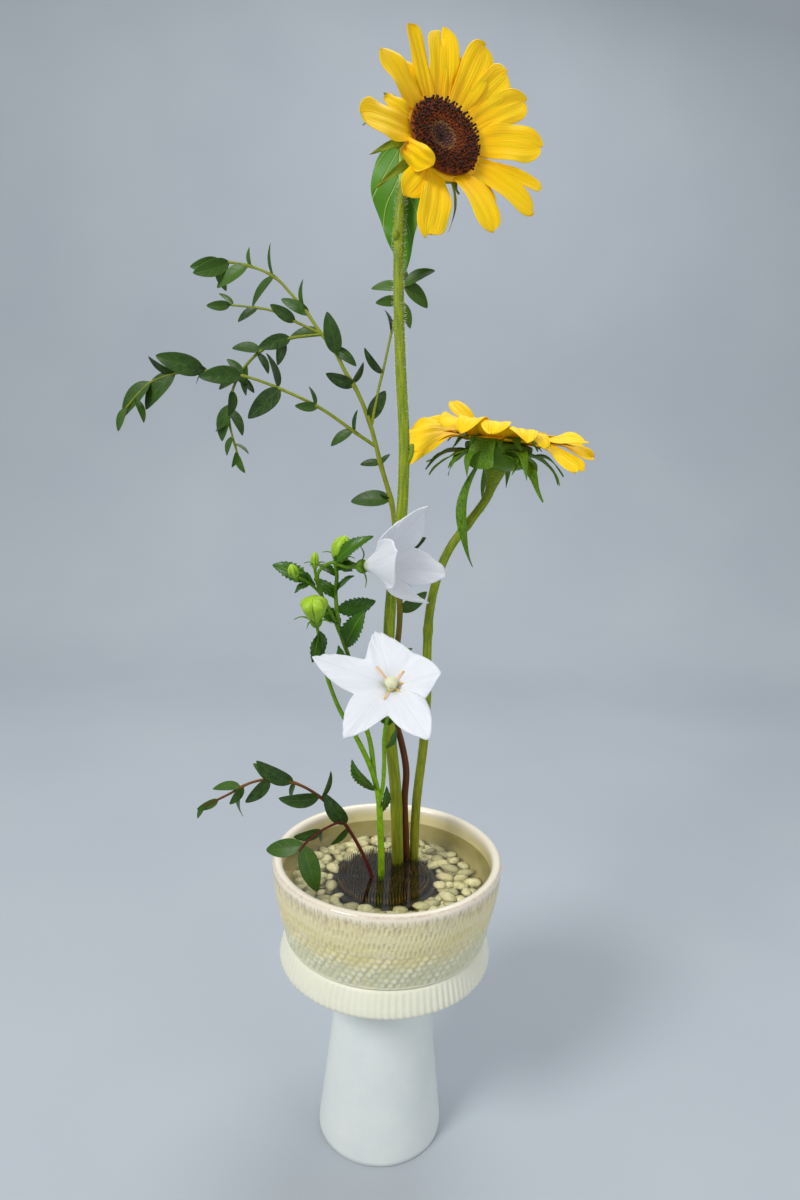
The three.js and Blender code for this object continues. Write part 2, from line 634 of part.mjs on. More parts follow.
function lowStem() {
  const frame = headFrame(LOW_HEAD);
  const leaf = blade({
    root: [62, 39, 549],
    tip: [59, 26, 468],
    face: [-1, -0.6, 0.2],
    width: 13,
    outline: lance,
    arch: 13,
    fold: 0.25,
    thickness: 1.2,
    rows: 6,
  });
  // one broad bract hangs over the front of the cup
  const apron = blade({
    root: polar(253, 24.5, -6),
    tip: polar(253, 29, -26),
    face: polar(253, 1, 0.2),
    width: 23,
    outline: lance,
    arch: 2,
    thickness: 1.2,
  }).applyMatrix4(frame);
  const pieces = [
    stalk(LOW_ROUTE, LOW_RADIUS, 8, 20), receptacle(frame, LOW_CUP), leaf, apron,
    ...bracts(frame, LOW_BRACTS, { radius: 20, height: -13 }),
  ];
  return geometryOf(mainBody(fuse(pieces)));
}

// ---------- eucalyptus ----------

function twigLeaves({ route, leaves }) {
  const curve = curveThrough(route);
  return leaves.map(([along, clock, length, turn], k) => {
    const root = curve.getPointAt(along);
    const angle = THREE.MathUtils.degToRad(clock);
    const lean = k % 2 ? 0.22 : -0.22;
    const way = new THREE.Vector3(Math.cos(angle), lean, Math.sin(angle)).normalize();
    const tip = root.clone().addScaledVector(way, length);
    root.addScaledVector(way, -SUNK);
    const face = new THREE.Vector3(0, -1, 0.25);
    face.applyAxisAngle(way, THREE.MathUtils.degToRad(k % 2 ? turn : -turn));
    return blade({
      root: root.toArray(),
      tip: tip.toArray(),
      face: face.toArray(),
      width: length * EUCALYPTUS_WIDTH,
      outline: lance,
      arch: length * 0.06,
      fold: 0.18,
      thickness: 1.2,
      rows: length < 26 ? 2 : 3,
    });
  });
}

function eucalyptus(main, others, steps) {
  const pieces = [stalk(main.route, main.radius, 5, steps), ...twigLeaves(main)];
  for (const twig of others) {
    const rings = Math.round(1.4 * twig.route.length);
    pieces.push(stalk(twig.route, twig.radius, 4, rings), ...twigLeaves(twig));
  }
  return geometryOf(mainBody(fuse(pieces), 0.4));
}

// ---------- bellflowers ----------

const CLOSED_BUD = [
  [0, 0], [0.35, 0.02], [0.86, 0.22], [1, 0.5], [0.8, 0.76], [0.3, 0.94], [0, 1],
];
const OPENING_BUD = [
  [0, 0], [0.3, 0.03], [0.66, 0.2], [0.92, 0.46], [1, 0.66], [0.62, 0.86], [0, 0.97],
];

function bud({ root, towards, radius, length, open }) {
  const profile = open ? OPENING_BUD : CLOSED_BUD;
  const shape = profile.map(([r, z]) => [r * radius, z * length]);
  const pleat = (side) => (side % 2 ? -0.09 : 0.05) * radius;
  const balloon = relieve(turned(shape, 10), shape.length, pleat);
  const turn = new THREE.Quaternion().setFromUnitVectors(
    new THREE.Vector3(0, 0, 1), new THREE.Vector3(...towards).normalize(),
  );
  return balloon.applyQuaternion(turn).translate(...root);
}

// A green cup with five pointed lobes behind a bloom or a bud.
function calyx(frame, radius, depth, length) {
  const profile = [
    [0, depth - 7], [radius * 0.55, depth - 6], [radius * 0.9, depth - 2],
    [radius * 0.8, depth + 0.4], [radius * 0.6, depth + 1], [0, depth + 1],
  ];
  const lobes = (side, row) => (row === 3 && side % 2 ? length : 0);
  return relieve(turned(profile, 10), profile.length, lobes).applyMatrix4(frame);
}

function budCalyx({ root, towards, radius }) {
  const helper = Math.abs(towards[2]) > 0.8 ? [0, 1, 0] : [0, 0, 1];
  const frame = headFrame({ centre: root, facing: towards, up: helper });
  return calyx(frame, radius * 0.55, 3, radius * 0.8);
}

function bellLeaf([root, clock, length, turn], k) {
  const angle = THREE.MathUtils.degToRad(clock);
  const way = new THREE.Vector3(Math.cos(angle), k % 2 ? 0.15 : -0.25, Math.sin(angle)).normalize();
  const face = new THREE.Vector3(0, -1, 0.3);
  face.applyAxisAngle(way, THREE.MathUtils.degToRad(k % 2 ? turn : -turn));
  const rows = 6;
  return blade({
    root,
    tip: new THREE.Vector3(...root).addScaledVector(way, length).toArray(),
    face: face.toArray(),
    width: length * 0.5,
    outline: toothed(rows),
    arch: length * 0.08,
    fold: 0.22,
    thickness: 1.2,
    rows,
  });
}

function bellflowerSpray() {
  const pieces = BELL_STEMS.map(({ route, radius }) => stalk(route, radius, 5, route.length));
  pieces.push(...BELL_LEAVES.map(bellLeaf));
  for (const one of BELL_BUDS) {
    pieces.push(bud(one), budCalyx(one));
  }
  for (const bloom of [LOWER_BLOOM, UPPER_BLOOM]) {
    pieces.push(calyx(headFrame(bloom), 6, bellHeight(bloom, THROAT) - 1.8, 8));
  }
  return geometryOf(mainBody(fuse(pieces), 0.4));
}

// The corolla's edge: for each column its clock angle, its reach and its tip's rise.
// Lobes are pointed, with a notch between each two.
function corollaEdge(lobes, steps) {
  const count = lobes.length;
  return lobes.flatMap(([clock, reach, rise], k) => {
    const before = (lobes[(k + count - 1) % count][0] - clock - 360) % 360;
    const after = (lobes[(k + 1) % count][0] - clock + 360) % 360;
    return Array.from({ length: 2 * steps }, (_, j) => {
      const share = (j - steps) / steps;
      const away = share < 0 ? (-share * before) / 2 : (share * after) / 2;
      const point = 1 - Math.abs(share) ** 1.15;
      return [clock + away, SINUS_REACH + (reach - SINUS_REACH) * point, rise * point];
    });
  });
}

// How far a bloom's inner face stands before the star's plane at a radius.
function bellHeight({ flare, depth }, radius) {
  return flare * radius - depth * Math.exp(-radius / 11);
}

function corolla(kind) {
  const edge = corollaEdge(kind.lobes, 3);
  const rows = 3;
  const sheet = new THREE.PlaneGeometry(1, 1, edge.length, rows);
  const place = sheet.attributes.position;
  for (let i = 0; i < place.count; i += 1) {
    const column = Math.round((place.getX(i) + 0.5) * edge.length) % edge.length;
    const [clock, reach, rise] = edge[column];
    const out = place.getY(i) + 0.5;
    const radius = THROAT + (reach - THROAT) * out ** 1.2;
    place.setXYZ(i, ...polar(clock, radius, bellHeight(kind, radius) + rise * out ** 2.5));
  }
  return thicken(sheet, 0.9);
}

function bloom(kind) {
  const length = kind.ball - bellHeight(kind, THROAT);
  const pistil = new THREE.CylinderGeometry(1.5, 4.4, length, 6).rotateX(Math.PI / 2);
  pistil.translate(0, 0, kind.ball - 0.5 - length / 2);
  const head = new THREE.IcosahedronGeometry(4.8, 0).translate(0, 0, kind.ball);
  const stamens = [20, 85, 150, 230, 300].map((clock) => {
    const filament = new THREE.ConeGeometry(0.9, 15, 3).rotateX(Math.PI / 2);
    filament.translate(0, 0, 7.5).rotateY(THREE.MathUtils.degToRad(62));
    return filament.rotateZ(THREE.MathUtils.degToRad(clock)).translate(0, 0, -7);
  });
  const joined = fuse([corolla(kind), pistil, head, ...stamens]);
  return geometryOf(mainBody(joined)).applyMatrix4(headFrame(kind));
}

// ---------- the arrangement ----------

const finish = (color, roughness, metalness = 0) =>
  new THREE.MeshStandardMaterial({ color, roughness, metalness });
const cream = finish(0xded6aa, 0.45);
const chalk = finish(0xe4e6dc, 0.6);
const lead = finish(0x4a4338, 0.4, 0.7);
const stone = finish(0xc8bd94, 0.6);
const clear = finish(0xb9c2a0, 0.05);
const yellow = finish(0xf8c400, 0.55);
const brown = finish(0x3c1a0c, 0.85);
const olive = finish(0x7a861e, 0.7);
const bluegreen = finish(0x2f4f30, 0.6);
const leafgreen = finish(0x4f7a14, 0.6);
const white = finish(0xf0f2f6, 0.6);

const arrangement = new THREE.Group();

function add(name, geometry, material) {
  const mesh = new THREE.Mesh(geometry, material);
  mesh.name = name;
  arrangement.add(mesh);
}

const tallFrame = headFrame(TALL_HEAD);
const lowFrame = headFrame(LOW_HEAD);

add("bowl", bowl(), cream);
add("pedestal", pedestal(), chalk);
add("pin_holder", pinHolder(), lead);
add("pebbles", pebbles(), stone);
add("water", water(), clear);
add("sunflower_tall_stem", tallStem(), olive);
const tallPetals = petals(tallFrame, TALL_PETALS, [foldedPetal(FOLDED_PETAL)]);
add("sunflower_tall_petals", tallPetals, yellow);
add("sunflower_tall_disc", disc(tallFrame, 28, 4), brown);
add("sunflower_low_stem", lowStem(), olive);
add("sunflower_low_petals", petals(lowFrame, LOW_PETALS), yellow);
add("sunflower_low_disc", disc(lowFrame, 26, 4), brown);
add("eucalyptus_branch", eucalyptus(BRANCH, TWIGS, 26), bluegreen);
add("eucalyptus_sprig", eucalyptus(SPRIG, [SPRIG_SIDE], 16), bluegreen);
add("bellflower_spray", bellflowerSpray(), leafgreen);
add("bellflower_bloom_lower", bloom(LOWER_BLOOM), white);
add("bellflower_bloom_upper", bloom(UPPER_BLOOM), white);

export default arrangement;
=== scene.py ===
import math
import random

import bmesh
import bpy
from mathutils import Matrix, Quaternion, Vector


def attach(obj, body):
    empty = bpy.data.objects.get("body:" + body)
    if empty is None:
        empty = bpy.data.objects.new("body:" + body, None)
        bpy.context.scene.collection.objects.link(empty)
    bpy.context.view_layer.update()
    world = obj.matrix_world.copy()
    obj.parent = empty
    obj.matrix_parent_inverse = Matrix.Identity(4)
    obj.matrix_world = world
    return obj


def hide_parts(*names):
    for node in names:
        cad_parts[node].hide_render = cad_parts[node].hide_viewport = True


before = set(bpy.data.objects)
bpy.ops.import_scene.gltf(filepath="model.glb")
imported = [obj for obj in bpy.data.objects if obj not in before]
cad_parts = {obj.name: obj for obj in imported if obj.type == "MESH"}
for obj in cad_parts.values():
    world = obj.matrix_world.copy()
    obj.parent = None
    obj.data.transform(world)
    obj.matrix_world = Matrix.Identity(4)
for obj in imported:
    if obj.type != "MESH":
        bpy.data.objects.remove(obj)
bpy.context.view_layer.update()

luck = random.Random(7)
# Lengths are in millimetres, and a finished piece is scaled to metres.
METRES = 0.001

# ---------- sizes of the vessel ----------

# The height at which the pin holder and the pebbles rest.
FLOOR_TOP = 196.3
HOLDER = Vector((-2.5, 4, FLOOR_TOP))
HOLDER_RADIUS = 44
PIN_TOP = 220
PIN_GAP = 2.4
RING_GAP = 3.3
# Where pebbles lie: radii from the bowl's middle, the wall there, and the tops of two layers.
PEBBLES_FROM = 41
PEBBLES_TO = 74
WALL_AT_PEBBLES = 78.5
LAYER_TOPS = (207.4, 209)
# The flutes round the collar.
FLUTES = 103
# The bowl's wall has rows of nicks above and rows of knobs below. NICKS and KNOBS are how many
# go round, NICK_ROW and KNOB_ROW how high a row is.
NICKS = 160
NICK_ROW = 6.4
NICK_DEPTH = 1.0
KNOBS = 96
KNOB_ROW = 4.5
KNOB_DEPTH = 1.6
KNOBS_TO_NICKS = (205, 213)
# Heights between which one colour of the glaze runs into the next, and where painted highlight
# and shade fade.
BASE_TO_BAND = (192, 206)
BAND_TO_CREAM = (209, 224)
CREAM_TO_RIM = (233, 240)
DRIPS_BEGIN = (222, 234)
DRIPS_END = (237, 240)
# The painted highlights on the knobs' tops fade out between these heights.
KNOB_HIGHLIGHTS_END = (206, 216)
# Below these heights the inside of the bowl is painted a darker olive, as painted shade under
# the water.
WATERLINE = (227, 229)
FOOT_TO_COLLAR = (146, 156)
# The rim's crest, where the glaze is thin.
CREST_RADIUS = 88.9
CREST_HEIGHT = (238.5, 240.5)

# ---------- how the plants stand ----------

TALL_ROUTE = [
    (9, 22, 208), (8, 19, 236), (5, 15, 288), (0, 11, 331), (-4, 8, 373), (-4, 6, 413),
    (-3, 5, 445), (0, 4, 475), (3, 5, 512), (3, 7, 562), (-1, 10, 611), (-4, 14, 660),
    (-5, 19, 700), (-4, 23, 730), (0, 22, 744), (7, 15, 750), (12, 8, 752),
]
LOW_ROUTE = [
    (22.5, 30, 208), (22, 28, 233), (22.5, 26, 275), (26.5, 26, 326), (27.5, 27, 368),
    (26.5, 29, 400), (27.5, 31, 432), (33, 34, 460), (41.5, 37, 481), (53.5, 41, 498),
    (65.5, 45, 514), (72, 47, 526), (73.5, 48, 542),
]
# A head: the middle of its disc's back, the way it looks, and what is up on it.
TALL_HEAD = {"centre": (23, -10, 757.6), "facing": (0.469, -0.832, 0.297), "up": (0, 0, 1)}
LOW_HEAD = {"centre": (77, 48, 566), "facing": (0.07, 0.03, 1), "up": (0, 1, 0)}
# The outline of the green cup behind each head, from the stem to the side.
TALL_CUP = [(0, -24), (3.6, -20), (4.6, -19), (9, -16), (13, -13.6), (15, -12), (25.4, -10.6)]
LOW_CUP = [(0, -29), (4, -26), (5, -25), (19, -23), (22, -20.4), (22.8, -18), (23.5, -13)]
DISC_RADIUS = 26
FLORETS = 430
GOLDEN_ANGLE = 137.508
# The florets' spiral starts this far from the middle of the head. Florets with dark open tips
# begin at one share of the radius, closed ones at another, and the small ones lie inside.
WHORL_SHIFT = (-5, -2)
OPEN_FROM = 0.54
CLOSED_FROM = 0.36

# A petal: clock angle, reach, width, rise of its tip, bow, depth of the notch in its tip, and
# twist from root to tip.
TALL_PETALS = [
    (135, 63, 19, 8, 2, 0.02, 0), (107, 71, 14, 8, 2, 0, 0), (86, 74, 24, 8, 2, 0.24, 0),
    (61, 79, 23, 9, 2, 0.03, 0), (45, 78, 21, 8, 2, 0.02, 0), (29, 80, 22, 8, 3, 0.04, 0),
    (3, 75, 28, 9, 3, 0.05, 0), (-20, 76, 11, 8, 1, 0, 0), (-35, 76, 19, 8, 3, 0.03, 0),
    (-69, 69, 23, 9, 3, 0.03, 0), (-110, 79, 24, 8, 2, 0.02, 0), (-128, 60, 20, 4, 2, 0.02, 0),
    (-176, 66, 25, 9, 2, 0.02, 0), (158, 46, 15, 2, 2, 0, 0), (-52, 52, 17, 3, 2, 0, 0),
    (74, 66, 17, 2, 2, 0.02, 0), (16, 64, 18, 2, 2, 0.02, 0), (121, 54, 15, 2, 2, 0, 0),
]
LOW_PETALS = [
    (8, 72, 20, -2, 6, 0.04, 20), (26, 70, 20, 0, 8, 0.03, 0), (46, 67, 20, 2, 9, 0, 0),
    (66, 68, 19, 2, 10, 0.03, 0), (88, 66, 20, 2, 10, 0.02, 0), (108, 64, 19, 4, 10, 0, 0),
    (128, 60, 13, 29, 4, 0, -60), (143, 66, 19, 4, 9, 0.03, -30), (158, 66, 20, 9, 4, 0, -60),
    (174, 70, 20, 2, 6, 0.03, -50), (187, 74, 23, -9, 6, 0.02, -60),
    (197, 72, 16, -24, 9, 0.04, -40), (211, 57, 24, 6, 8, 0.02, -30),
    (233, 56, 22, 2, 12, 0.05, -10), (256, 52, 24, 3, 11, 0.06, 0),
    (283, 56, 24, -3, 9, 0.05, 0), (301, 55, 20, -3, 7, 0.03, 0),
    (320, 69, 12, -19, 5, 0, 20), (334, 69, 13, -16, 4, 0, 35), (345, 66, 19, 5, 3, 0.08, 45),
    (354, 74, 18, -4, 4, 0.1, 40),
]
# The petal that folds over the disc, as it runs round the head.
FOLDED_PETAL = {"start": -162, "end": -122, "radius": 33, "width": 16, "rise": 9}

# A bract: clock angle, length, how far its tip hangs back, and its width.
TALL_BRACTS = [
    (140, 26, 4, 10), (168, 32, 8, 10), (192, 28, 11, 10), (214, 34, 18, 10),
    (240, 20, 7, 9), (275, 35, 8, 2.5), (292, 12, 4, 4), (325, 24, 9, 10),
    (0, 24, 6, 10), (40, 23, 6, 10), (85, 24, 5, 10),
]
# Shorter bracts on the back of the tall head's cup.
BACK_BRACTS = [(36 * k + 8, 18 + 2 * (k % 3), -3.6, 13) for k in range(10)]
LOW_BRACTS = [
    (10, 34, 12, 14), (40, 30, 18, 14), (70, 32, 20, 14), (97, 28, 44, 10), (130, 32, 16, 14),
    (158, 35, 16, 15), (186, 36, 14, 15), (201, 34, 25, 15), (216, 30, 17, 15),
    (232, 23, 18, 14), (278, 20, 15, 9), (289, 32, 13, 15), (302, 36, 34, 20),
    (324, 34, 21, 15), (343, 33, 9, 15),
]
# Small bracts between the low head's cup and its petals.
UPPER_BRACTS = [
    (24, 20, 1, 15), (58, 18, 2, 15), (92, 18, 2, 15), (120, 19, 2, 15), (148, 20, 2, 14),
    (176, 20, 2, 15), (204, 18, 3, 15), (222, 13, 6, 10), (266, 13, 6, 10), (292, 16, 4, 16),
    (314, 18, 3, 15), (338, 20, 2, 15),
]

# A twig: its route, its radius at the foot and at the end, and its leaves. A leaf: how far
# along the twig, clock angle from the front, length, and turn about its own length.
BRANCH = {
    "route": [
        (15.4, 28.4, 208), (15.2, 24.8, 231), (12.5, 22, 276), (13, 20, 303), (8, 20, 328),
        (3.5, 20, 343), (1, 21, 369), (2.5, 23, 401), (4, 24, 425), (2.5, 26, 456),
        (-1, 28, 487), (-4.5, 30, 513), (-14, 34, 543), (-23, 39, 573), (-34, 44, 598),
        (-44, 48, 613), (-52, 53.3, 628), (-65, 60, 643), (-76, 67, 658), (-89, 74, 672),
        (-101.4, 80.8, 684.2), (-123, 90, 694), (-149, 98, 699),
    ],
    "radius": (3.2, 0.9),
    "leaves": [
        (0.47, 40, 28, 30), (0.398, 35, 26, 20), (0.42, 110, 24, 40), (0.55, -175, 32, 15),
        (0.55, 155, 10, 60), (0.6, -175, 16, 20), (0.6, 45, 10, 20), (0.66, 60, 26, 20),
        (0.71, 160, 23, 25), (0.715, 60, 18, 65), (0.77, -35, 23, 20), (0.79, 0, 13, 20),
        (0.76, 105, 31, 15), (0.8, -170, 25, 20), (0.84, 95, 22, 65), (0.83, 150, 26, 20),
        (0.91, 95, 24, 70), (0.91, -130, 30, 40), (0.95, 95, 14, 50), (0.955, -150, 32, 15),
        (1, -165, 24, 20), (1, -80, 23, 25), (0.985, 200, 30, 30),
    ],
}
TWIGS = [
    {
        "route": [
            (-17, 36, 556), (-33, 35, 566), (-61, 36, 584), (-91, 40, 597), (-119, 46, 606),
            (-152, 54, 610), (-175, 60, 608), (-198, 65, 600), (-218, 67, 580),
        ],
        "radius": (1.4, 0.8),
        "leaves": [
            (0.09, 85, 17, 60), (0.1, -145, 21, 20), (0.24, 180, 17, 15), (0.25, 110, 15, 60),
            (0.38, -135, 33, 20), (0.39, 110, 28, 65), (0.52, -175, 32, 15),
            (0.52, 135, 18, 25), (0.65, 175, 19, 25), (0.66, -125, 13, 60),
            (0.66, 165, 37, 15), (0.77, -135, 40, 15), (0.77, 150, 23, 65),
            (0.87, -135, 39, 20), (0.95, -65, 21, 60), (1, -115, 20, 20),
        ],
    },
    {
        "route": [
            (-62, 58, 640), (-78, 63, 647), (-103, 70, 658), (-121, 76, 661), (-138, 82, 663),
        ],
        "radius": (1.2, 0.8),
        "leaves": [
            (0.3, 150, 22, 25), (0.7, -150, 20, 20), (1, -175, 18, 20), (0.97, 140, 15, 40),
        ],
    },
    {
        "route": [
            (-62, 58, 640), (-92, 58, 635), (-114, 60, 623), (-131, 64, 601), (-136, 66, 575),
            (-130, 68, 547),
        ],
        "radius": (1.3, 0.8),
        "leaves": [
            (0.18, -160, 26, 15), (0.36, 175, 24, 20), (0.38, -60, 18, 40),
            (0.55, -150, 20, 20), (0.56, -40, 18, 30), (0.72, -105, 30, 20),
            (0.74, -60, 24, 45), (0.9, -110, 16, 30), (0.22, -100, 20, 35),
            (0.47, -95, 24, 40), (0.64, -95, 20, 45), (0.82, -150, 14, 40),
            (0.94, -30, 14, 60), (1, -70, 16, 30), (0.985, -105, 13, 50),
        ],
    },
    {
        "route": [(-22, 38.5, 572), (-18, 42, 597), (-14, 47, 616), (-8, 56, 648), (0, 61, 681)],
        "radius": (1.2, 0.8),
        "leaves": [
            (0.36, 130, 23, 65), (0.64, 105, 19, 60), (0.97, 25, 26, 20), (1, -45, 26, 20),
            (0.86, -65, 22, 20), (0.95, 180, 25, 20), (0.87, 190, 19, 25), (1, 100, 12, 40),
        ],
    },
]
SPRIG = {
    "route": [
        (-9.8, -9, 208), (-10.5, -11, 222), (-13.5, -14, 235), (-23.5, -20, 260),
        (-35.5, -24, 281), (-50, -28, 299), (-66, -32, 311), (-83.5, -36, 317),
        (-101, -40, 315), (-115, -44, 308), (-131.5, -50, 301),
    ],
    "radius": (1.6, 0.8),
    "leaves": [
        (0.66, 145, 32, 20), (0.76, 135, 15, 40), (0.54, 180, 30, 25), (0.53, 70, 21, 65),
        (0.38, 120, 32, 15), (0.65, -105, 15, 50), (0.75, -135, 24, 25), (0.86, -170, 22, 55),
        (0.85, -125, 16, 25), (0.86, -90, 26, 60), (0.95, -155, 16, 25), (1, -120, 13, 40),
        (0.36, -135, 18, 45),
    ],
}
SPRIG_SIDE = {
    "route": [(-34.5, -23.7, 279.5), (-49, -33, 276), (-61.5, -42, 268.5), (-65, -46, 265)],
    "radius": (1, 0.8),
    "leaves": [
        (0.44, -170, 21, 20), (0.85, -165, 31, 20), (0.86, -70, 35, 15), (0.42, -95, 13, 60),
    ],
}

# The bellflower's stems: the radius at the foot and at the end, and the route.
BELL_STEMS = [
    {"radius": (2.9, 1.1), "route": [
        (-4, -1, 208), (-5, -1, 244), (-6.5, -4, 271), (-8.5, -8, 294), (-13, -11, 313),
        (-24.5, -17, 341), (-39.5, -24, 370), (-51, -30, 407), (-53, -32, 421), (-55, -34, 436),
    ]},
    {"radius": (1.9, 1.4), "route": [
        (-11, -10, 305), (-16, -10, 339), (-26.5, -10, 370), (-32, -12, 401),
        (-39.5, -14, 423), (-42, -16, 440), (-43, -18, 455), (-42, -20, 466), (-44, -22, 477),
    ]},
    {"radius": (1.3, 1), "route": [
        (-37.5, -13.5, 417), (-47, -18, 440), (-55, -24, 455), (-63.5, -30, 463),
        (-70, -34, 466),
    ]},
    {"radius": (1, 0.9), "route": [(-53, -22.5, 452), (-56, -27, 463), (-57, -28, 472)]},
    {"radius": (1.2, 1.3), "route": [
        (-52, -21.7, 450), (-55, -28, 468), (-50, -30, 474), (-44, -31, 477), (-36, -31, 474),
        (-27, -28, 473.6),
    ]},
    {"radius": (1.6, 1.6), "route": [
        (-7.5, -6, 284), (-5, -10, 303), (-4.5, -15, 323), (-5, -22, 344), (-3.5, -28, 360),
        (0.6, -33, 377.5), (0.2, -41, 386.7),
    ]},
]
# A bellflower leaf: root, clock angle from the front, length, width, and turn.
BELL_LEAVES = [
    ((-44, -29, 476), 39, 35, 12, 25), ((-42, -16, 440), 12, 29, 15, 20),
    ((-36, -13, 412), 64, 33, 17, 15), ((-43, -17.5, 449), 140, 21, 11, 30),
    ((-43, -18, 452), 50, 20, 10, 60), ((-62, -29, 462), 155, 28, 15, 25),
    ((-53.5, -32.5, 425), -100, 20, 10, 20), ((-52, -31, 414), -60, 16, 8, 45),
    ((-9.5, -8.5, 298), 128, 34, 18, 55), ((-5, -18, 335), 60, 20, 10, 60),
    ((-30, -11.5, 392), 118, 24, 12, 30), ((-7, -5, 277), 75, 22, 11, 50),
    ((-3.5, -27, 358), 55, 16, 8, 25), ((-3.5, -27, 358), 128, 16, 8, 25),
    ((-53, -33, 428), -80, 18, 9, 50), ((-60, -29, 461), -150, 14, 7, 40),
    ((-43, -21, 470), 20, 17, 9, 40), ((-43, -20, 466), 150, 15, 8, 35),
    ((-54, -27, 462), -20, 12, 6, 50), ((-39, -15, 430), 150, 24, 12, 20),
    ((-57, -27, 459), 120, 12, 6, 40), ((-40, -30, 476), -30, 11, 6, 40),
    ((-4, -24, 400), 45, 24, 12, 30),
]
# A bud's outline: share of its radius and of its length.
CLOSED_BUD = [
    (0.02, 0), (0.4, 0.03), (0.82, 0.2), (1, 0.48), (0.86, 0.72), (0.42, 0.91), (0.02, 1),
]
OPENING_BUD = [
    (0.02, 0), (0.3, 0.03), (0.56, 0.2), (0.86, 0.5), (1, 0.72), (0.7, 0.89), (0.02, 0.97),
]
# A bud: root, the way it points, radius, length, and outline.
BELL_BUDS = [
    ((-55, -34.5, 434), (-0.1, -0.3, 1), 9.6, 21, OPENING_BUD),
    ((-41, -23, 476), (0.25, -0.1, 1), 7.2, 20, CLOSED_BUD),
    ((-69.8, -34.3, 465.6), (-0.3, -0.3, 1), 3.6, 11, CLOSED_BUD),
    ((-57, -28, 471), (0, -0.1, 1), 2.8, 13, CLOSED_BUD),
]
# A bloom: how steeply it widens, how deep its throat goes, the height of the pistil's ball, and
# the radius between two lobes. A lobe: clock angle, reach, rise of its tip, and how slim it is.
# A stamen: clock angle and reach.
LOWER_BLOOM = {
    "centre": (-1.2, -52, 398.5), "facing": (-0.08, -0.68, 0.73), "up": (0, 0, 1),
    "flare": 0.08, "depth": 13, "ball": -2, "sinus": 27,
    "lobes": [
        (8, 35, 6, 1.2), (112, 45, -4, 1.8), (170, 57, 3, 1.2), (241, 54, -1, 1.3),
        (304, 55, 1, 1.2),
    ],
    "stamens": [(136, 16), (53, 12.5), (256, 14), (320, 8.5), (12, 8)],
}
UPPER_BLOOM = {
    "centre": (-8.5, -39.3, 478.3), "facing": (0.83, -0.52, 0.21), "up": (0, 0, 1),
    "flare": 0.62, "depth": 22, "ball": 1.5, "sinus": 24,
    "lobes": [
        (-20, 41, 3, 1), (57, 41, 3, 0.8), (112, 29, 8, 0.8), (166, 33, 14, 0.5),
        (278, 31, 9, 2.6),
    ],
    "stamens": [(20, 11), (95, 13), (165, 12), (238, 12), (300, 9)],
}
# The radius at which a bloom's white begins.
THROAT = 3

# ---------- shapes ----------


def polar(clock, radius, height):
    """A point by its clock angle in degrees, as on a head seen from the front."""
    angle = math.radians(clock)
    return Vector((radius * math.cos(angle), radius * math.sin(angle), height))


def head_frame(head):
    """Turns a head's own X, Y and Z, with Z the way it looks, to where it stands."""
    out = Vector(head["facing"]).normalized()
    upward = Vector(head["up"])
    upward = (upward - out * upward.dot(out)).normalized()
    right = upward.cross(out)
    turn = Matrix((right, upward, out)).transposed().to_4x4()
    return Matrix.Translation(head["centre"]) @ turn


class Route:
    """A smooth line through the given points, measured by the share of its length."""

    def __init__(self, points):
        knots = [Vector(point) for point in points]
        ends = [2 * knots[0] - knots[1], *knots, 2 * knots[-1] - knots[-2]]
        self.line = [knots[0]]
        for before, start, end, after in zip(ends, ends[1:], ends[2:], ends[3:]):
            first = (start - before).length ** 0.5
            middle = (end - start).length ** 0.5
            last = (after - end).length ** 0.5
            leave = (start - before) / first - (end - before) / (first + middle)
            leave = (leave + (end - start) / middle) * middle
            arrive = (end - start) / middle - (after - start) / (middle + last)
            arrive = (arrive + (after - end) / last) * middle
            for k in range(1, 11):
                s = k / 10
                point = start + leave * s
                point += (3 * (end - start) - 2 * leave - arrive) * s * s
                point += (2 * (start - end) + leave + arrive) * s ** 3
                self.line.append(point)
        self.reached = [0]
        for start, end in zip(self.line, self.line[1:]):
            self.reached.append(self.reached[-1] + (end - start).length)
        self.length = self.reached[-1]

    def at(self, share):
        """The point at a share of the length."""
        goal = min(max(share, 0), 1) * self.length
        k = max(1, next(i for i, far in enumerate(self.reached) if far >= goal))
        part = (goal - self.reached[k - 1]) / (self.reached[k] - self.reached[k - 1])
        return self.line[k - 1].lerp(self.line[k], part)

    def way(self, share):
        """The direction at a share of the length."""
        return (self.at(share + 0.01) - self.at(share - 0.01)).normalized()


def open_mesh():
    """An empty mesh whose points can hold a tone, and its faces a share across and along."""
    shape = bmesh.new()
    shape.loops.layers.uv.verify()
    shape.verts.layers.float.new("tone")
    return shape


def tint_part(shape, points, tone):
    """Marks the points with a number that the material reads."""
    layer = shape.verts.layers.float["tone"]
    for point in points:
        point[layer] = tone


def sheet(shape, across, along, place, tone=0.0):
    """A grid whose points are moved to place(share across, share along)."""
    made = bmesh.ops.create_grid(
        shape, x_segments=across, y_segments=along, size=0.5, calc_uvs=True
    )["verts"]
    tint_part(shape, made, tone)
    for point in made:
        point.co = place(point.co.x + 0.5, point.co.y + 0.5)
    return made


def ring(shape, around, along, place, tone=0.0):
    """A sheet whose two sides meet."""
    made = sheet(shape, around, along, place, tone)
    bmesh.ops.remove_doubles(shape, verts=made, dist=1e-4)
    return [point for point in made if point.is_valid]


def close_ends(shape, points):
    """Puts a face over each open end."""
    rim = {edge for point in points for edge in point.link_edges if edge.is_boundary}
    if rim:
        bmesh.ops.holes_fill(shape, edges=list(rim), sides=0)


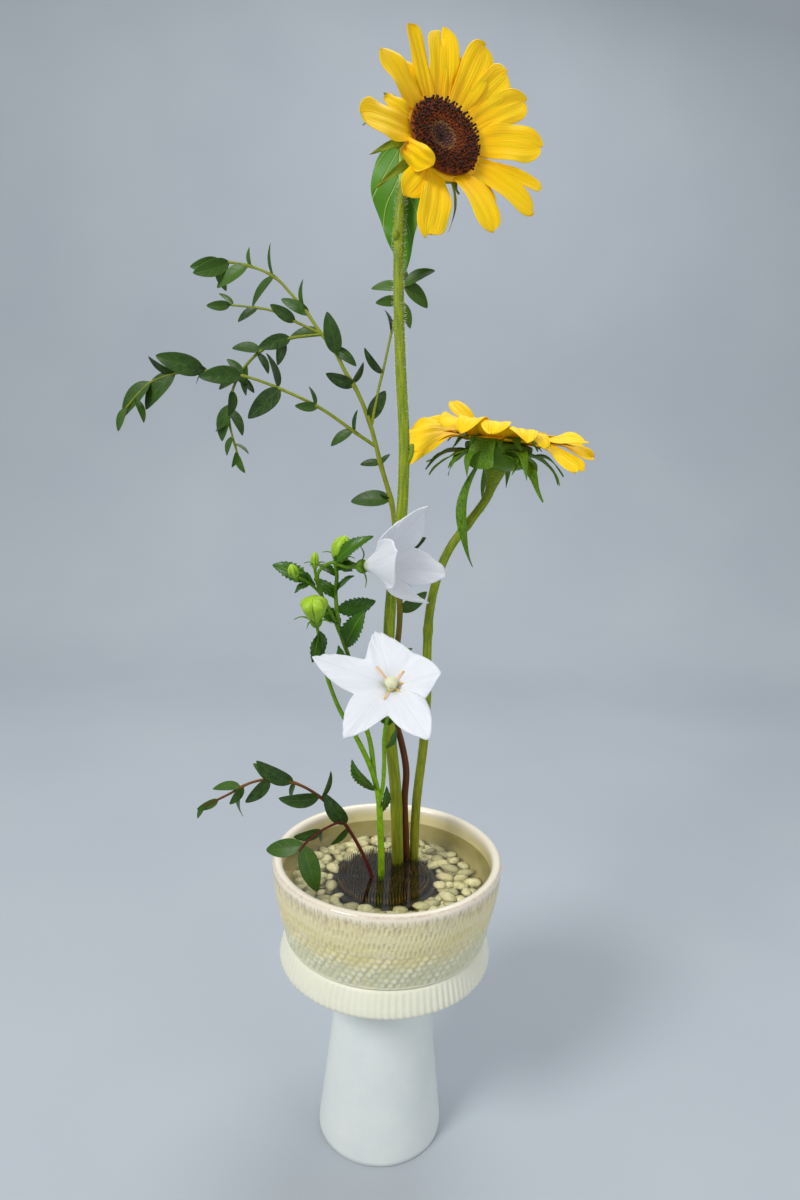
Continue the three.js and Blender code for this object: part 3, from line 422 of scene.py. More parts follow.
def tube(shape, route, radius_at, sides, steps, tone=0.0):
    """A round stalk along a route, closed at both ends."""
    normals = []
    normal = route.way(0).orthogonal().normalized()
    for k in range(steps + 1):
        way = route.way(k / steps)
        normal = (normal - way * normal.dot(way)).normalized()
        normals.append((normal.copy(), way.cross(normal)))
    centres = [route.at(k / steps) for k in range(steps + 1)]

    def place(around, along):
        step = round(along * steps)
        first, second = normals[step]
        angle = 2 * math.pi * around
        radius = radius_at(along, around)
        return centres[step] + radius * (first * math.cos(angle) + second * math.sin(angle))

    close_ends(shape, ring(shape, sides, steps, place, tone))


def turned(shape, profile, sides, tone=0.0, place=Matrix.Identity(4)):
    """A profile of (radius, height) points spun into a closed solid."""
    points = [shape.verts.new((radius, 0, height)) for radius, height in profile]
    edges = [shape.edges.new(pair) for pair in zip(points, points[1:])]
    spun = bmesh.ops.spin(
        shape, geom=points + edges, cent=(0, 0, 0), axis=(0, 0, 1), dvec=(0, 0, 0),
        angle=2 * math.pi, steps=sides, use_merge=True,
    )
    made = {point for face in shape.faces for point in face.verts}
    mine = walk_from(spun["geom_last"], made)
    bmesh.ops.remove_doubles(shape, verts=list(mine), dist=1e-4)
    mine = [point for point in mine if point.is_valid]
    tint_part(shape, mine, tone)
    bmesh.ops.transform(shape, matrix=place, verts=mine)
    return mine


def walk_from(seeds, allowed):
    """Every point joined to the seeds."""
    found = {seed for seed in seeds if isinstance(seed, bmesh.types.BMVert)}
    waiting = list(found)
    while waiting:
        point = waiting.pop()
        for edge in point.link_edges:
            other = edge.other_vert(point)
            if other not in found and other in allowed:
                found.add(other)
                waiting.append(other)
    return found


def dot(shape, centre, size, level, tone=0.0):
    """A rounded grain or ball."""
    made = bmesh.ops.create_icosphere(shape, subdivisions=level, radius=1)["verts"]
    bmesh.ops.scale(shape, vec=size, verts=made)
    bmesh.ops.translate(shape, vec=centre, verts=made)
    tint_part(shape, made, tone)
    return made


def spike(shape, foot, tip, thick, thin, sides=3, tone=0.0):
    """A straight tapering point, such as a hair or a pin."""
    way = tip - foot
    made = bmesh.ops.create_cone(
        shape, cap_ends=True, segments=sides, radius1=thick, radius2=thin, depth=way.length
    )["verts"]
    turn = way.to_track_quat("Z", "Y").to_matrix().to_4x4()
    matrix = Matrix.Translation((foot + tip) / 2) @ turn
    bmesh.ops.transform(shape, matrix=matrix, verts=made)
    tint_part(shape, made, tone)


def thicken(shape, made, thickness):
    """Gives a sheet its thickness, half on each side."""
    faces = list({face for point in made for face in point.link_faces})
    for point in made:
        point.normal_update()
    moves = [point.normal * thickness / 2 for point in made]
    for point, move in zip(made, moves):
        point.co += move
    bmesh.ops.solidify(shape, geom=faces, thickness=thickness)


def smoothstep(low, high, value):
    share = min(max((value - low) / (high - low), 0), 1)
    return share * share * (3 - 2 * share)


# Outlines: half width, as a share of the greatest, at a share of the length.
def lance(t):
    return max(0.015, math.sin(math.pi * t ** 0.85) ** 0.8)


def heart(t):
    return max(0.02, math.sin(math.pi * t ** 0.55) ** 0.9)


def needle(t):
    return max(0.03, (1 - t) ** 0.8)


def apron_outline(t):
    return (0.92 + 0.08 * t) * max(0.1, 1 - max(0, t - 0.9) / 0.11) ** 0.4


def bract_outline(t):
    return max(0.03, (1 - t ** 1.7) ** 1.1)


def ovate(t):
    return max(0.02, math.sin(math.pi * t ** 0.8) ** 0.66)


def petal_outline(tip_share):
    """A strap that narrows to its foot and has a round tip this share of its length."""
    def outline(t):
        past = max(0, t - 1 + tip_share) / tip_share
        rounded = max(0, 1 - past ** 2.6) ** 0.45
        return max(0.03, math.sin(math.pi * (0.1 + 0.6 * t)) ** 0.6 * rounded)
    return outline


def blade(
    shape, root, tip, face, width, outline, arch=0, fold=0, wave=0, waves=3, curl=0, bend=0,
    twist=0, groove=0, notch=0, teeth=0, ragged=0, slant=0, rows=12, columns=6, thickness=0.6,
    tone=None,
):
    """A leaf, petal or bract from root to tip whose upper side looks to `face`.

    Arch bows it, fold lifts its sides, wave ruffles its edges, curl turns its tip down, bend
    pushes its middle sideways and twist turns its tip. Groove presses lines along it, notch
    dips the middle of its tip, teeth saw its edge, ragged varies its width and slant skews
    its tip.
    """
    phase = luck.random() * 6
    own_tone = luck.random()
    root = Vector(root)
    reach = Vector(tip) - root
    side = reach.cross(Vector(face)).normalized()
    above = side.cross(reach).normalized()

    def place(across, along):
        x = 2 * across - 1
        # Rows lie closer together towards the tip.
        t = 1 - (1 - along) ** 1.35
        t_here = t * (1 - notch * max(0, 1 - abs(x) / 0.55) ** 1.2 * t ** 4)
        half = width / 2 * outline(t)
        half *= 1 + ragged * math.sin(9 * t + phase + 2 * x) * t
        if teeth:
            saw = (t * teeth) % 1
            half *= 1 - 0.24 * saw * x * x * (0.08 < t < 0.94)
        lift = arch * 4 * t * (1 - t) + fold * abs(x) ** 1.4 * half - curl * t ** 3
        lift += wave * x * abs(x) * math.sin(waves * math.pi * t + phase + x)
        lift += groove * math.cos(3.2 * math.pi * x) * math.sin(math.pi * min(1, t * 1.1)) ** 0.5
        t_here *= 1 + slant * x * t ** 3
        offset = side * (x * half + bend * math.sin(math.pi * t * 0.9)) + above * lift
        return root + reach * t_here + Quaternion(reach, twist * t) @ offset

    made = sheet(shape, columns, rows, place, own_tone if tone is None else tone)
    thicken(shape, made, thickness)


def move_new(shape, known, matrix):
    """Moves the points that aren't among the known ones."""
    made = [point for point in shape.verts if point not in known]
    bmesh.ops.transform(shape, matrix=matrix, verts=made)


def finished(name, shape, finishes, nodes, rounds=0, place=None):
    """Makes the object, gives it its finishes, and hangs it on the frame.

    Rounds says how often its faces are divided, and place is where a piece goes that was made
    round its own middle.
    """
    if place:
        bmesh.ops.transform(shape, matrix=place, verts=shape.verts)
    bmesh.ops.scale(shape, vec=(METRES, METRES, METRES), verts=shape.verts)
    bmesh.ops.recalc_face_normals(shape, faces=shape.faces)
    for face in shape.faces:
        face.smooth = True
    mesh = bpy.data.meshes.new(name)
    shape.to_mesh(mesh)
    shape.free()
    made = bpy.data.objects.new(name, mesh)
    bpy.context.scene.collection.objects.link(made)
    for finish in finishes:
        mesh.materials.append(finish.material)
    if rounds:
        surface = made.modifiers.new("rounded", "SUBSURF")
        surface.levels = rounds
        surface.render_levels = rounds
    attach(made, "root")
    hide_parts(*nodes)


# ---------- finishes ----------


def colour(red, green, blue):
    """A screen's red, green and blue, 0 to 255, in linear light."""
    linear = [
        part / 12.92 if part <= 0.04045 else ((part + 0.055) / 1.055) ** 2.4
        for part in (red / 255, green / 255, blue / 255)
    ]
    return (*linear, 1)


class Finish:
    """A material with the nodes that colour it."""

    def __init__(self, name, roughness=0.5, **settings):
        self.material = bpy.data.materials.new(name)
        self.material.use_nodes = True
        self.nodes = self.material.node_tree.nodes
        self.links = self.material.node_tree.links
        self.shader = self.nodes["Principled BSDF"]
        self.shader.inputs["Roughness"].default_value = roughness
        for socket, value in settings.items():
            self.shader.inputs[socket.replace("_", " ")].default_value = value

    def add(self, kind, **settings):
        """A new node of the given kind."""
        node = self.nodes.new("ShaderNode" + kind)
        for key, value in settings.items():
            setattr(node, key, value)
        return node

    def feed(self, socket, value):
        """Links another node's output to a socket, or sets the socket's value."""
        if isinstance(value, bpy.types.NodeSocket):
            self.links.new(value, socket)
        else:
            socket.default_value = value

    def maths(self, operation, first, second=0.0):
        node = self.add("Math", operation=operation)
        self.feed(node.inputs[0], first)
        self.feed(node.inputs[1], second)
        return node.outputs[0]

    def times(self, first, second):
        return self.maths("MULTIPLY", first, second)

    def rest(self, share):
        """What the share leaves of 1."""
        return self.maths("SUBTRACT", 1, share)

    def place(self):
        """The point on the piece, in millimetres."""
        scaled = self.add("VectorMath", operation="SCALE")
        self.links.new(self.add("TexCoord").outputs["Object"], scaled.inputs[0])
        scaled.inputs["Scale"].default_value = 1 / METRES
        return scaled.outputs[0]

    def parts(self, vector):
        split = self.add("SeparateXYZ")
        self.links.new(vector, split.inputs[0])
        return split.outputs

    def along(self):
        """The share across and along a leaf, petal or stalk."""
        return self.parts(self.add("TexCoord").outputs["UV"])

    def tone(self):
        return self.add("Attribute", attribute_name="tone").outputs["Fac"]

    def noise(self, scale, detail=3.0, stretch=None):
        """Cloudy noise with features about 1 / scale millimetres wide."""
        vector = self.place()
        if stretch:
            mapped = self.add("Mapping")
            self.links.new(vector, mapped.inputs["Vector"])
            mapped.inputs["Scale"].default_value = stretch
            vector = mapped.outputs[0]
        cloud = self.add("TexNoise")
        self.links.new(vector, cloud.inputs["Vector"])
        cloud.inputs["Scale"].default_value = scale
        cloud.inputs["Detail"].default_value = detail
        return cloud.outputs[0]

    def streaks(self, count, along_scale, detail=3.0):
        """Noise drawn out along a petal, leaf or stalk."""
        across, along, _ = self.along()
        joined = self.add("CombineXYZ")
        self.feed(joined.inputs[0], self.times(across, count))
        self.feed(joined.inputs[1], self.times(along, along_scale))
        self.feed(joined.inputs[2], self.times(self.tone(), 37.0))
        cloud = self.add("TexNoise")
        self.links.new(joined.outputs[0], cloud.inputs["Vector"])
        cloud.inputs["Scale"].default_value = 1
        cloud.inputs["Detail"].default_value = detail
        return cloud.outputs[0]

    def ramp(self, value, *stops):
        """Colours or greys at the given positions, and what lies between."""
        node = self.add("ValToRGB")
        self.feed(node.inputs[0], value)
        entries = node.color_ramp.elements
        while len(entries) < len(stops):
            entries.new(0.5)
        for entry, (position, shade) in zip(entries, stops):
            entry.position = position
            entry.color = (shade, shade, shade, 1) if isinstance(shade, float) else shade
        return node.outputs[0]

    def blend(self, share, first, second):
        node = self.add("Mix", data_type="RGBA")
        self.feed(node.inputs["Factor"], share)
        self.feed(node.inputs[6], first)
        self.feed(node.inputs[7], second)
        return node.outputs[2]

    def between(self, value, low, high):
        """0 below the low value, 1 above the high one, smooth between."""
        node = self.add("MapRange", interpolation_type="SMOOTHSTEP")
        self.feed(node.inputs["Value"], value)
        node.inputs["From Min"].default_value = low
        node.inputs["From Max"].default_value = high
        return node.outputs[0]

    def paint(self, shade):
        self.feed(self.shader.inputs["Base Color"], shade)

    def gloss(self, value, low, high):
        """Roughness that varies between two values."""
        node = self.add("MapRange")
        self.feed(node.inputs["Value"], value)
        node.inputs["To Min"].default_value = low
        node.inputs["To Max"].default_value = high
        self.links.new(node.outputs[0], self.shader.inputs["Roughness"])

    def bump(self, height, millimetres, strength=1.0):
        node = self.add("Bump")
        self.feed(node.inputs["Height"], height)
        node.inputs["Distance"].default_value = millimetres * METRES
        node.inputs["Strength"].default_value = strength
        last = self.shader.inputs["Normal"]
        if last.is_linked:
            self.links.new(last.links[0].from_socket, node.inputs["Normal"])
        self.links.new(node.outputs[0], last)


def cream_glaze():
    """The bowl's glaze: greenish at the base, yellow in the band, cream above, with drips."""
    glaze = Finish("cream_glaze", 0.3, Coat_Weight=0.6, Coat_Roughness=0.1)
    x, y, z = glaze.parts(glaze.place())
    radius = glaze.maths("SQRT", glaze.maths("ADD", glaze.times(x, x), glaze.times(y, y)))
    # The hollow widens a little towards the rim. What lies past it or below it is outside.
    slope = glaze.times(glaze.maths("SUBTRACT", z, 196), 0.05)
    upright = glaze.maths("SUBTRACT", radius, slope)
    outside = glaze.maths(
        "MAXIMUM", glaze.between(upright, 81.5, 81.9), glaze.maths("LESS_THAN", z, 195.8)
    )
    cloud = glaze.noise(0.04, 4)
    body = glaze.blend(
        glaze.between(z, *BASE_TO_BAND), colour(208, 210, 176), colour(228, 213, 144)
    )
    body = glaze.blend(glaze.between(z, *BAND_TO_CREAM), body, colour(230, 219, 168))
    body = glaze.blend(glaze.ramp(cloud, (0.35, 0.0), (0.7, 0.6)), body, colour(230, 222, 182))
    # Painted shade: the relief's hollows on the outer wall are darkened by their depth.
    hollows = glaze.times(glaze.tone(), outside)
    hollows = glaze.times(glaze.maths("POWER", hollows, 2), 0.4)
    body = glaze.blend(hollows, body, colour(190, 182, 124))
    # Painted highlights: where the relief is shallow, on the knobs' tops, the outer wall is
    # lightened.
    knob_highlight = glaze.rest(glaze.between(glaze.tone(), 0.02, 0.4))
    knob_highlight = glaze.times(knob_highlight, glaze.rest(glaze.between(z, *KNOB_HIGHLIGHTS_END)))
    knob_highlight = glaze.times(knob_highlight, glaze.times(outside, 0.55))
    body = glaze.blend(knob_highlight, body, colour(240, 238, 222))
    body = glaze.blend(glaze.between(z, *CREAM_TO_RIM), body, colour(238, 229, 208))
    drips = glaze.noise(0.5, 4, stretch=(1, 1, 0.16))
    drips = glaze.ramp(drips, (0.45, 0.0), (0.62, 1.0))
    band = glaze.times(glaze.between(z, *DRIPS_BEGIN), outside)
    band = glaze.times(band, glaze.rest(glaze.between(z, *DRIPS_END)))
    drips = glaze.times(glaze.times(drips, band), 0.6)
    body = glaze.blend(drips, body, colour(178, 152, 134))
    off_crest = glaze.maths("ABSOLUTE", glaze.maths("SUBTRACT", radius, CREST_RADIUS))
    crest = glaze.rest(glaze.between(off_crest, 0.1, 1.1))
    crest = glaze.times(crest, glaze.between(z, *CREST_HEIGHT))
    mottle = glaze.ramp(glaze.noise(0.4, 5), (0.3, 0.2), (0.65, 1.0))
    crest = glaze.times(glaze.times(crest, mottle), 0.55)
    body = glaze.blend(crest, body, colour(178, 148, 136))
    # Painted shade: the inside of the bowl under the water is a darker olive.
    under_water_shade = glaze.times(glaze.rest(outside), glaze.rest(glaze.between(z, *WATERLINE)))
    olive = glaze.blend(glaze.noise(0.08, 4), colour(150, 138, 84), colour(176, 164, 112))
    glaze.paint(glaze.blend(under_water_shade, body, olive))
    glaze.bump(glaze.noise(0.6, 3), 0.12)
    glaze.gloss(glaze.noise(0.2, 3), 0.24, 0.42)
    return glaze


def chalk_glaze():
    glaze = Finish("chalk_glaze", 0.5, Coat_Weight=0.12, Coat_Roughness=0.35)
    z = glaze.parts(glaze.place())[2]
    cloud = glaze.noise(0.04, 4)
    foot = glaze.blend(cloud, colour(214, 222, 222), colour(230, 234, 230))
    collar = glaze.blend(cloud, colour(228, 228, 206), colour(238, 237, 218))
    shade = glaze.blend(glaze.between(z, *FOOT_TO_COLLAR), foot, collar)
    specks = glaze.ramp(glaze.noise(0.9, 2), (0.7, 0.0), (0.76, 1.0))
    shade = glaze.blend(glaze.times(specks, 0.25), shade, colour(190, 184, 160))
    glaze.paint(shade)
    glaze.bump(glaze.noise(0.25, 5), 0.25)
    glaze.bump(glaze.noise(2.0, 2), 0.03)
    glaze.gloss(cloud, 0.42, 0.6)
    return glaze


def dark_lead():
    lead = Finish("dark_lead", 0.45, Metallic=0.6)
    cloud = lead.noise(0.3, 4)
    lead.paint(lead.blend(cloud, colour(34, 29, 22), colour(62, 54, 40)))
    lead.bump(lead.noise(1.5, 3), 0.08)
    lead.gloss(cloud, 0.35, 0.6)
    return lead


def pin_brass():
    brass = Finish("pin_brass", 0.35, Metallic=0.4)
    z = brass.parts(brass.place())[2]
    # The brass is painted lighter low on the pins, as painted light where the bowl's rim shades
    # them, and turns dark towards the tips.
    lit_brass = brass.blend(brass.noise(0.4, 2), colour(150, 114, 52), colour(196, 156, 82))
    tips = brass.between(z, 208, 217)
    brass.paint(brass.blend(tips, lit_brass, colour(52, 40, 24)))
    return brass


def river_pebble():
    pebble = Finish("river_pebble", 0.4)
    tone = pebble.tone()
    plain = pebble.ramp(
        tone, (0.0, colour(168, 160, 124)), (0.4, colour(204, 196, 156)),
        (0.75, colour(222, 215, 178)), (1.0, colour(192, 178, 136)),
    )
    cloud = pebble.noise(0.5, 4)
    pebble.paint(pebble.blend(pebble.ramp(cloud, (0.45, 0.0), (0.75, 0.5)), plain,
                              colour(150, 138, 100)))
    pebble.bump(pebble.noise(0.8, 4), 0.2)
    return pebble


def still_water():
    water = Finish("still_water", 0.0, IOR=1.333, Transmission_Weight=1.0,
                   Specular_IOR_Level=0.15)
    water.paint(colour(244, 246, 232))
    # Light that casts shadows passes straight through.
    clear = water.add("BsdfTransparent")
    clear.inputs[0].default_value = colour(240, 242, 226)
    kind = water.add("LightPath")
    mix = water.add("MixShader")
    water.links.new(kind.outputs["Is Shadow Ray"], mix.inputs[0])
    water.links.new(water.shader.outputs[0], mix.inputs[1])
    water.links.new(clear.outputs[0], mix.inputs[2])
    water.links.new(mix.outputs[0], water.nodes["Material Output"].inputs["Surface"])
    ripple = water.noise(0.03, 1)
    water.bump(ripple, 0.25, 0.4)
    return water


def petal_yellow():
    petal = Finish("petal_yellow", 0.5, Subsurface_Weight=0.2, Subsurface_Scale=0.002,
                   Specular_IOR_Level=0.2)
    petal.shader.inputs["Subsurface Radius"].default_value = (1.0, 0.5, 0.02)
    along = petal.along()[1]
    streak = petal.streaks(26.0, 2.0, 4)
    plain = petal.blend(
        petal.ramp(streak, (0.3, 0.0), (0.7, 1.0)), colour(255, 194, 0), colour(255, 217, 0)
    )
    base = petal.rest(petal.between(along, 0.0, 0.45))
    plain = petal.blend(petal.times(base, 0.65), plain, colour(246, 172, 0))
    plain = petal.blend(petal.times(petal.tone(), 0.25), plain, colour(255, 202, 0))
    petal.paint(plain)
    petal.bump(petal.streaks(30.0, 1.0, 2), 0.8, 0.8)
    petal.bump(petal.noise(0.6, 2), 0.06)
    return petal


def floret_brown():
    floret = Finish("floret_brown", 0.7, Specular_IOR_Level=0.3)
    shade = floret.ramp(
        floret.tone(), (0.0, colour(54, 32, 38)), (0.14, colour(68, 40, 38)),
        (0.26, colour(172, 122, 68)), (0.4, colour(116, 62, 26)), (0.54, colour(142, 62, 10)),
        (0.7, colour(192, 92, 10)), (0.86, colour(34, 14, 8)), (1.0, colour(14, 7, 6)),
    )
    grain = floret.noise(1.6, 3)
    floret.paint(floret.blend(floret.ramp(grain, (0.4, 0.0), (0.6, 0.75)), shade,
                              colour(52, 24, 12)))
    floret.bump(grain, 0.2)
    return floret


def sunflower_green(name, light, dark):
    green = Finish(name, 0.55, Specular_IOR_Level=0.28)
    streak = green.streaks(14.0, 30.0, 3)
    plain = green.blend(green.ramp(streak, (0.35, 0.0), (0.65, 1.0)), dark, light)
    specks = green.ramp(green.noise(1.6, 2), (0.62, 0.0), (0.7, 1.0))
    plain = green.blend(green.times(specks, 0.16), plain, colour(176, 184, 92))
    z = green.parts(green.place())[2]
    # The stalks turn yellow towards the water.
    foot = green.rest(green.between(z, 215, 420))
    plain = green.blend(green.times(foot, 0.35), plain, colour(150, 140, 52))
    green.paint(plain)
    green.bump(green.streaks(24.0, 6.0, 2), 0.25)
    green.bump(green.noise(0.7, 2), 0.08)
    return green


def veined_leaf(name, light, dark, vein, slant, pairs, gloss, depth, contrast):
    """A leaf green with a pale midrib and side veins that rise towards the edge."""
    leaf = Finish(name, gloss, Specular_IOR_Level=0.32)
    across, along, _ = leaf.along()
    out = leaf.maths("ABSOLUTE", leaf.maths("SUBTRACT", across, 0.5))
    midrib = leaf.rest(leaf.between(out, 0.012, 0.05))
    row = leaf.maths("SUBTRACT", leaf.times(along, pairs), leaf.times(out, slant))
    wave = leaf.maths("ABSOLUTE", leaf.maths("SUBTRACT", leaf.maths("FRACT", row), 0.5))
    side = leaf.times(leaf.between(wave, 0.42, 0.49), 0.75)
    veins = leaf.maths("MAXIMUM", midrib, side)
    cloud = leaf.noise(0.25, 4)
    plain = leaf.blend(leaf.tone(), dark, light)
    plain = leaf.blend(leaf.ramp(cloud, (0.35, 0.0), (0.75, 0.5)), plain, light)
    leaf.paint(leaf.blend(leaf.times(veins, contrast), plain, vein))
    leaf.bump(leaf.rest(veins), depth)
    leaf.bump(leaf.noise(0.5, 2), 0.06)
    return leaf


def twig_bark(name, low, high, foot_height, top_height):
    bark = Finish(name, 0.6, Specular_IOR_Level=0.3)
    z = bark.parts(bark.place())[2]
    plain = bark.blend(bark.between(z, foot_height, top_height), low, high)
    streak = bark.streaks(6.0, 60.0, 4)
    plain = bark.blend(bark.ramp(streak, (0.45, 0.0), (0.75, 0.45)), plain, colour(72, 44, 12))
    bark.paint(plain)
    bark.bump(bark.streaks(8.0, 90.0, 4), 0.25)
    return bark


def bud_green():
    bud = Finish("bud_green", 0.45, Subsurface_Weight=0.3, Subsurface_Scale=0.003)
    bud.shader.inputs["Subsurface Radius"].default_value = (0.6, 1.0, 0.15)
    across, along, _ = bud.along()
    five = bud.maths("ABSOLUTE", bud.maths("SINE", bud.times(across, 5 * math.pi)))
    seam = bud.rest(bud.between(five, 0.0, 0.16))
    plain = bud.blend(along, colour(112, 156, 8), colour(162, 200, 26))
    plain = bud.blend(bud.times(seam, 0.6), plain, colour(104, 142, 26))
    # Pale noise patches are painted highlights.
    bud.paint(bud.blend(bud.ramp(bud.noise(0.5, 3), (0.4, 0.0), (0.7, 0.3)), plain,
                        colour(198, 220, 70)))
    bud.bump(bud.rest(seam), 0.25)
    return bud


def bell_white():
    white = Finish("bell_white", 0.5, Subsurface_Weight=0.15, Subsurface_Scale=0.002,
                   Specular_IOR_Level=0.3)
    white.shader.inputs["Subsurface Radius"].default_value = (1.0, 0.9, 0.8)
    across, along, _ = white.along()
    lobe = white.maths("FRACT", white.times(across, 5))
    off = white.maths("ABSOLUTE", white.maths("SUBTRACT", lobe, 0.5))
    midrib = white.rest(white.between(off, 0.0, 0.03))
    net = white.ramp(white.streaks(90.0, 5.0, 4), (0.45, 0.0), (0.62, 1.0))
    veins = white.maths("MAXIMUM", white.times(net, 0.4), midrib)
    throat = white.rest(white.between(along, 0.0, 0.2))
    plain = white.blend(white.times(veins, 0.22), colour(226, 229, 236),
                        colour(184, 194, 198))
    white.paint(white.blend(white.times(throat, 0.8), plain, colour(176, 192, 132)))
    white.bump(veins, 0.2, 0.6)
    return white


def plain_soft(name, shade, other, roughness, scale):
    soft = Finish(name, roughness, Subsurface_Weight=0.15, Subsurface_Scale=0.001)
    soft.paint(soft.blend(soft.noise(scale, 3), shade, other))
    soft.bump(soft.noise(scale * 2, 3), 0.08)
    return soft


CREAM = cream_glaze()
CHALK = chalk_glaze()
LEAD = dark_lead()
BRASS = pin_brass()
PEBBLE = river_pebble()
WATER = still_water()
YELLOW = petal_yellow()
FLORET = floret_brown()
STEM_GREEN = sunflower_green("stem_green", colour(146, 160, 24), colour(104, 128, 10))
BRACT_GREEN = sunflower_green("bract_green", colour(104, 142, 16), colour(52, 94, 6))
BIG_LEAF = veined_leaf("big_leaf_green", colour(84, 142, 8), colour(44, 104, 4),
                       colour(172, 204, 104), 3.4, 5.0, 0.5, 0.6, 0.85)
BLUE_LEAF = veined_leaf("eucalyptus_green", colour(66, 104, 18), colour(20, 44, 14),
                        colour(104, 128, 60), 2.0, 5.0, 0.45, 0.12, 0.2)
BELL_LEAF = veined_leaf("bell_leaf_green", colour(56, 106, 2), colour(20, 60, 2),
                        colour(136, 172, 36), 3.0, 6.0, 0.36, 0.6, 0.5)
BROWN_TWIG = twig_bark("brown_twig", colour(98, 54, 16), colour(128, 140, 26), 330, 520)
RED_TWIG = twig_bark("red_twig", colour(84, 18, 16), colour(118, 76, 24), 290, 318)
BELL_STEM = twig_bark("bell_stem_green", colour(136, 184, 4), colour(96, 140, 12), 260, 420)
BUD_GREEN = bud_green()
WHITE = bell_white()
HAIR = plain_soft("pale_hair", colour(232, 236, 214), colour(214, 222, 180), 0.5, 1.0)
PISTIL = plain_soft("pistil_cream", colour(238, 234, 204), colour(210, 216, 170), 0.5, 0.8)
STAMEN = plain_soft("stamen_orange", colour(255, 192, 66), colour(246, 172, 40), 0.55, 1.0)

# ---------- the vessel ----------


def evenly(points, pitch):
    """Points spaced evenly along a smooth line through the given ones."""
    line = Route([(radius, 0, height) for radius, height in points])
    count = round(line.length / pitch)
    return [(line.at(k / count).x, line.at(k / count).z) for k in range(count)]


def nick(turn, z):
    """Upright nicks in rows that don't quite line up."""
    row = (z - 208) / NICK_ROW
    across = turn * NICKS + 0.5 * (math.floor(row) % 2)
    column = math.floor(across)
    row += 0.22 * math.sin(2.7 * column)
    uneven = 0.5 + 0.5 * math.sin(12.9 * column + 78.2 * math.floor(row))
    wide = abs(math.sin(math.pi * across)) ** 2
    return wide * min(1, 1.8 * abs(math.sin(math.pi * row))) * (0.4 + 0.6 * uneven)


def knob(turn, z):
    """The hollows between round knobs in rows."""
    row = (z - 182) / KNOB_ROW
    height = 0
    for level in (math.floor(row), math.floor(row) + 1):
        across = turn * KNOBS + 0.5 * (level % 2)
        column = round(across)
        uneven = 0.78 + 0.22 * math.sin(7.3 * column + 5.1 * level)
        off = across - column + 0.13 * math.sin(4.1 * column + 2.3 * level)
        gap = math.hypot(5.5 * off, KNOB_ROW * (row - level) + 0.5 * math.sin(3.7 * column))
        height = max(height, uneven * (1 - (gap / 3.3) ** 2))
    return 1 - height


def bowl():
    shape = open_mesh()
    wall = [(79.5, 178.9), (81, 183), (82.5, 189), (85, 201), (87, 212), (88.5, 221),
            (89.3, 230), (89.9, 236)]
    lip = [(89.9, 236), (90, 238), (89.6, 240.2), (88.5, 241.7), (86.6, 242.35), (84.6, 242.1),
           (83, 240.8), (82.2, 238.5), (82.1, 236)]
    hollow = [(82.1, 236), (82.6, 228), (82.3, 218), (81.6, 210), (79.6, 203.5), (76, 199),
              (70, 196.4), (66, 196)]
    profile = [(0, 178.3), (60, 178.3), (77, 178.3), (78.6, 178.4)]
    profile += evenly(wall, 1.03) + evenly(lip, 1) + evenly(hollow, 3)
    profile += [(66, 196), (0, 196)]
    made = turned(shape, profile, 6 * NICKS)
    # A point's tone says how deep the relief is there, and the relief is on the outer wall.
    # The glaze paints shade in the deep parts and highlights on the knobs' tops from the tone.
    depth = shape.verts.layers.float["tone"]
    for point in made:
        x, y, z = point.co
        radius = math.hypot(x, y)
        fade = smoothstep(179.5, 181, z) * (1 - smoothstep(234, 236.4, z))
        if fade and radius > 77 + 0.18 * (z - 178):
            turn = math.atan2(y, x) / (2 * math.pi)
            higher = smoothstep(*KNOBS_TO_NICKS, z)
            point[depth] = fade * (higher * nick(turn, z) + (1 - higher) * knob(turn, z))
            push = point[depth] * (KNOB_DEPTH + (NICK_DEPTH - KNOB_DEPTH) * higher)
            point.co.x *= 1 - push / radius
            point.co.y *= 1 - push / radius
    finished("bowl_glazed", shape, [CREAM], ["bowl"])


def pedestal():
    shape = open_mesh()
    profile = [
        (0, 0), (30, 0), (47, 0), (49.8, 0.1), (50.8, 0.9), (50.6, 4), (49.5, 14),
        (47.8, 28), (46.1, 44), (44.4, 60), (42.6, 78), (41, 93), (39, 112), (37.2, 132),
        (35.8, 143), (35.4, 147.5), (36.8, 149.8), (42, 151.6), (60, 153.6), (78, 155.8),
        (82.6, 157.4), (83.7, 158.7), (83.8, 160.6), (82.8, 165), (81.5, 170.5),
        (80.2, 175.4), (79.4, 177.2), (78.2, 177.9), (70, 178), (0, 178),
    ]
    made = turned(shape, profile, 4 * FLUTES)
    for point in made:
        x, y, z = point.co
        radius = math.hypot(x, y)
        # The flutes are a little uneven and fade at the collar's edges.
        if radius > 77 and 157 < z < 177.6:
            fade = smoothstep(156.5, 159, z) * (1 - smoothstep(174.5, 177.6, z))
            angle = math.atan2(y, x)
            strength = 0.5 + 0.14 * math.sin(5 * angle) + 0.12 * math.sin(13 * angle + 2)
            ridge = strength * fade * math.cos(FLUTES * angle + 0.7 * math.sin(7 * angle))
            point.co.x *= 1 + ridge / radius
            point.co.y *= 1 + ridge / radius
    finished("pedestal_glazed", shape, [CHALK], ["pedestal"])


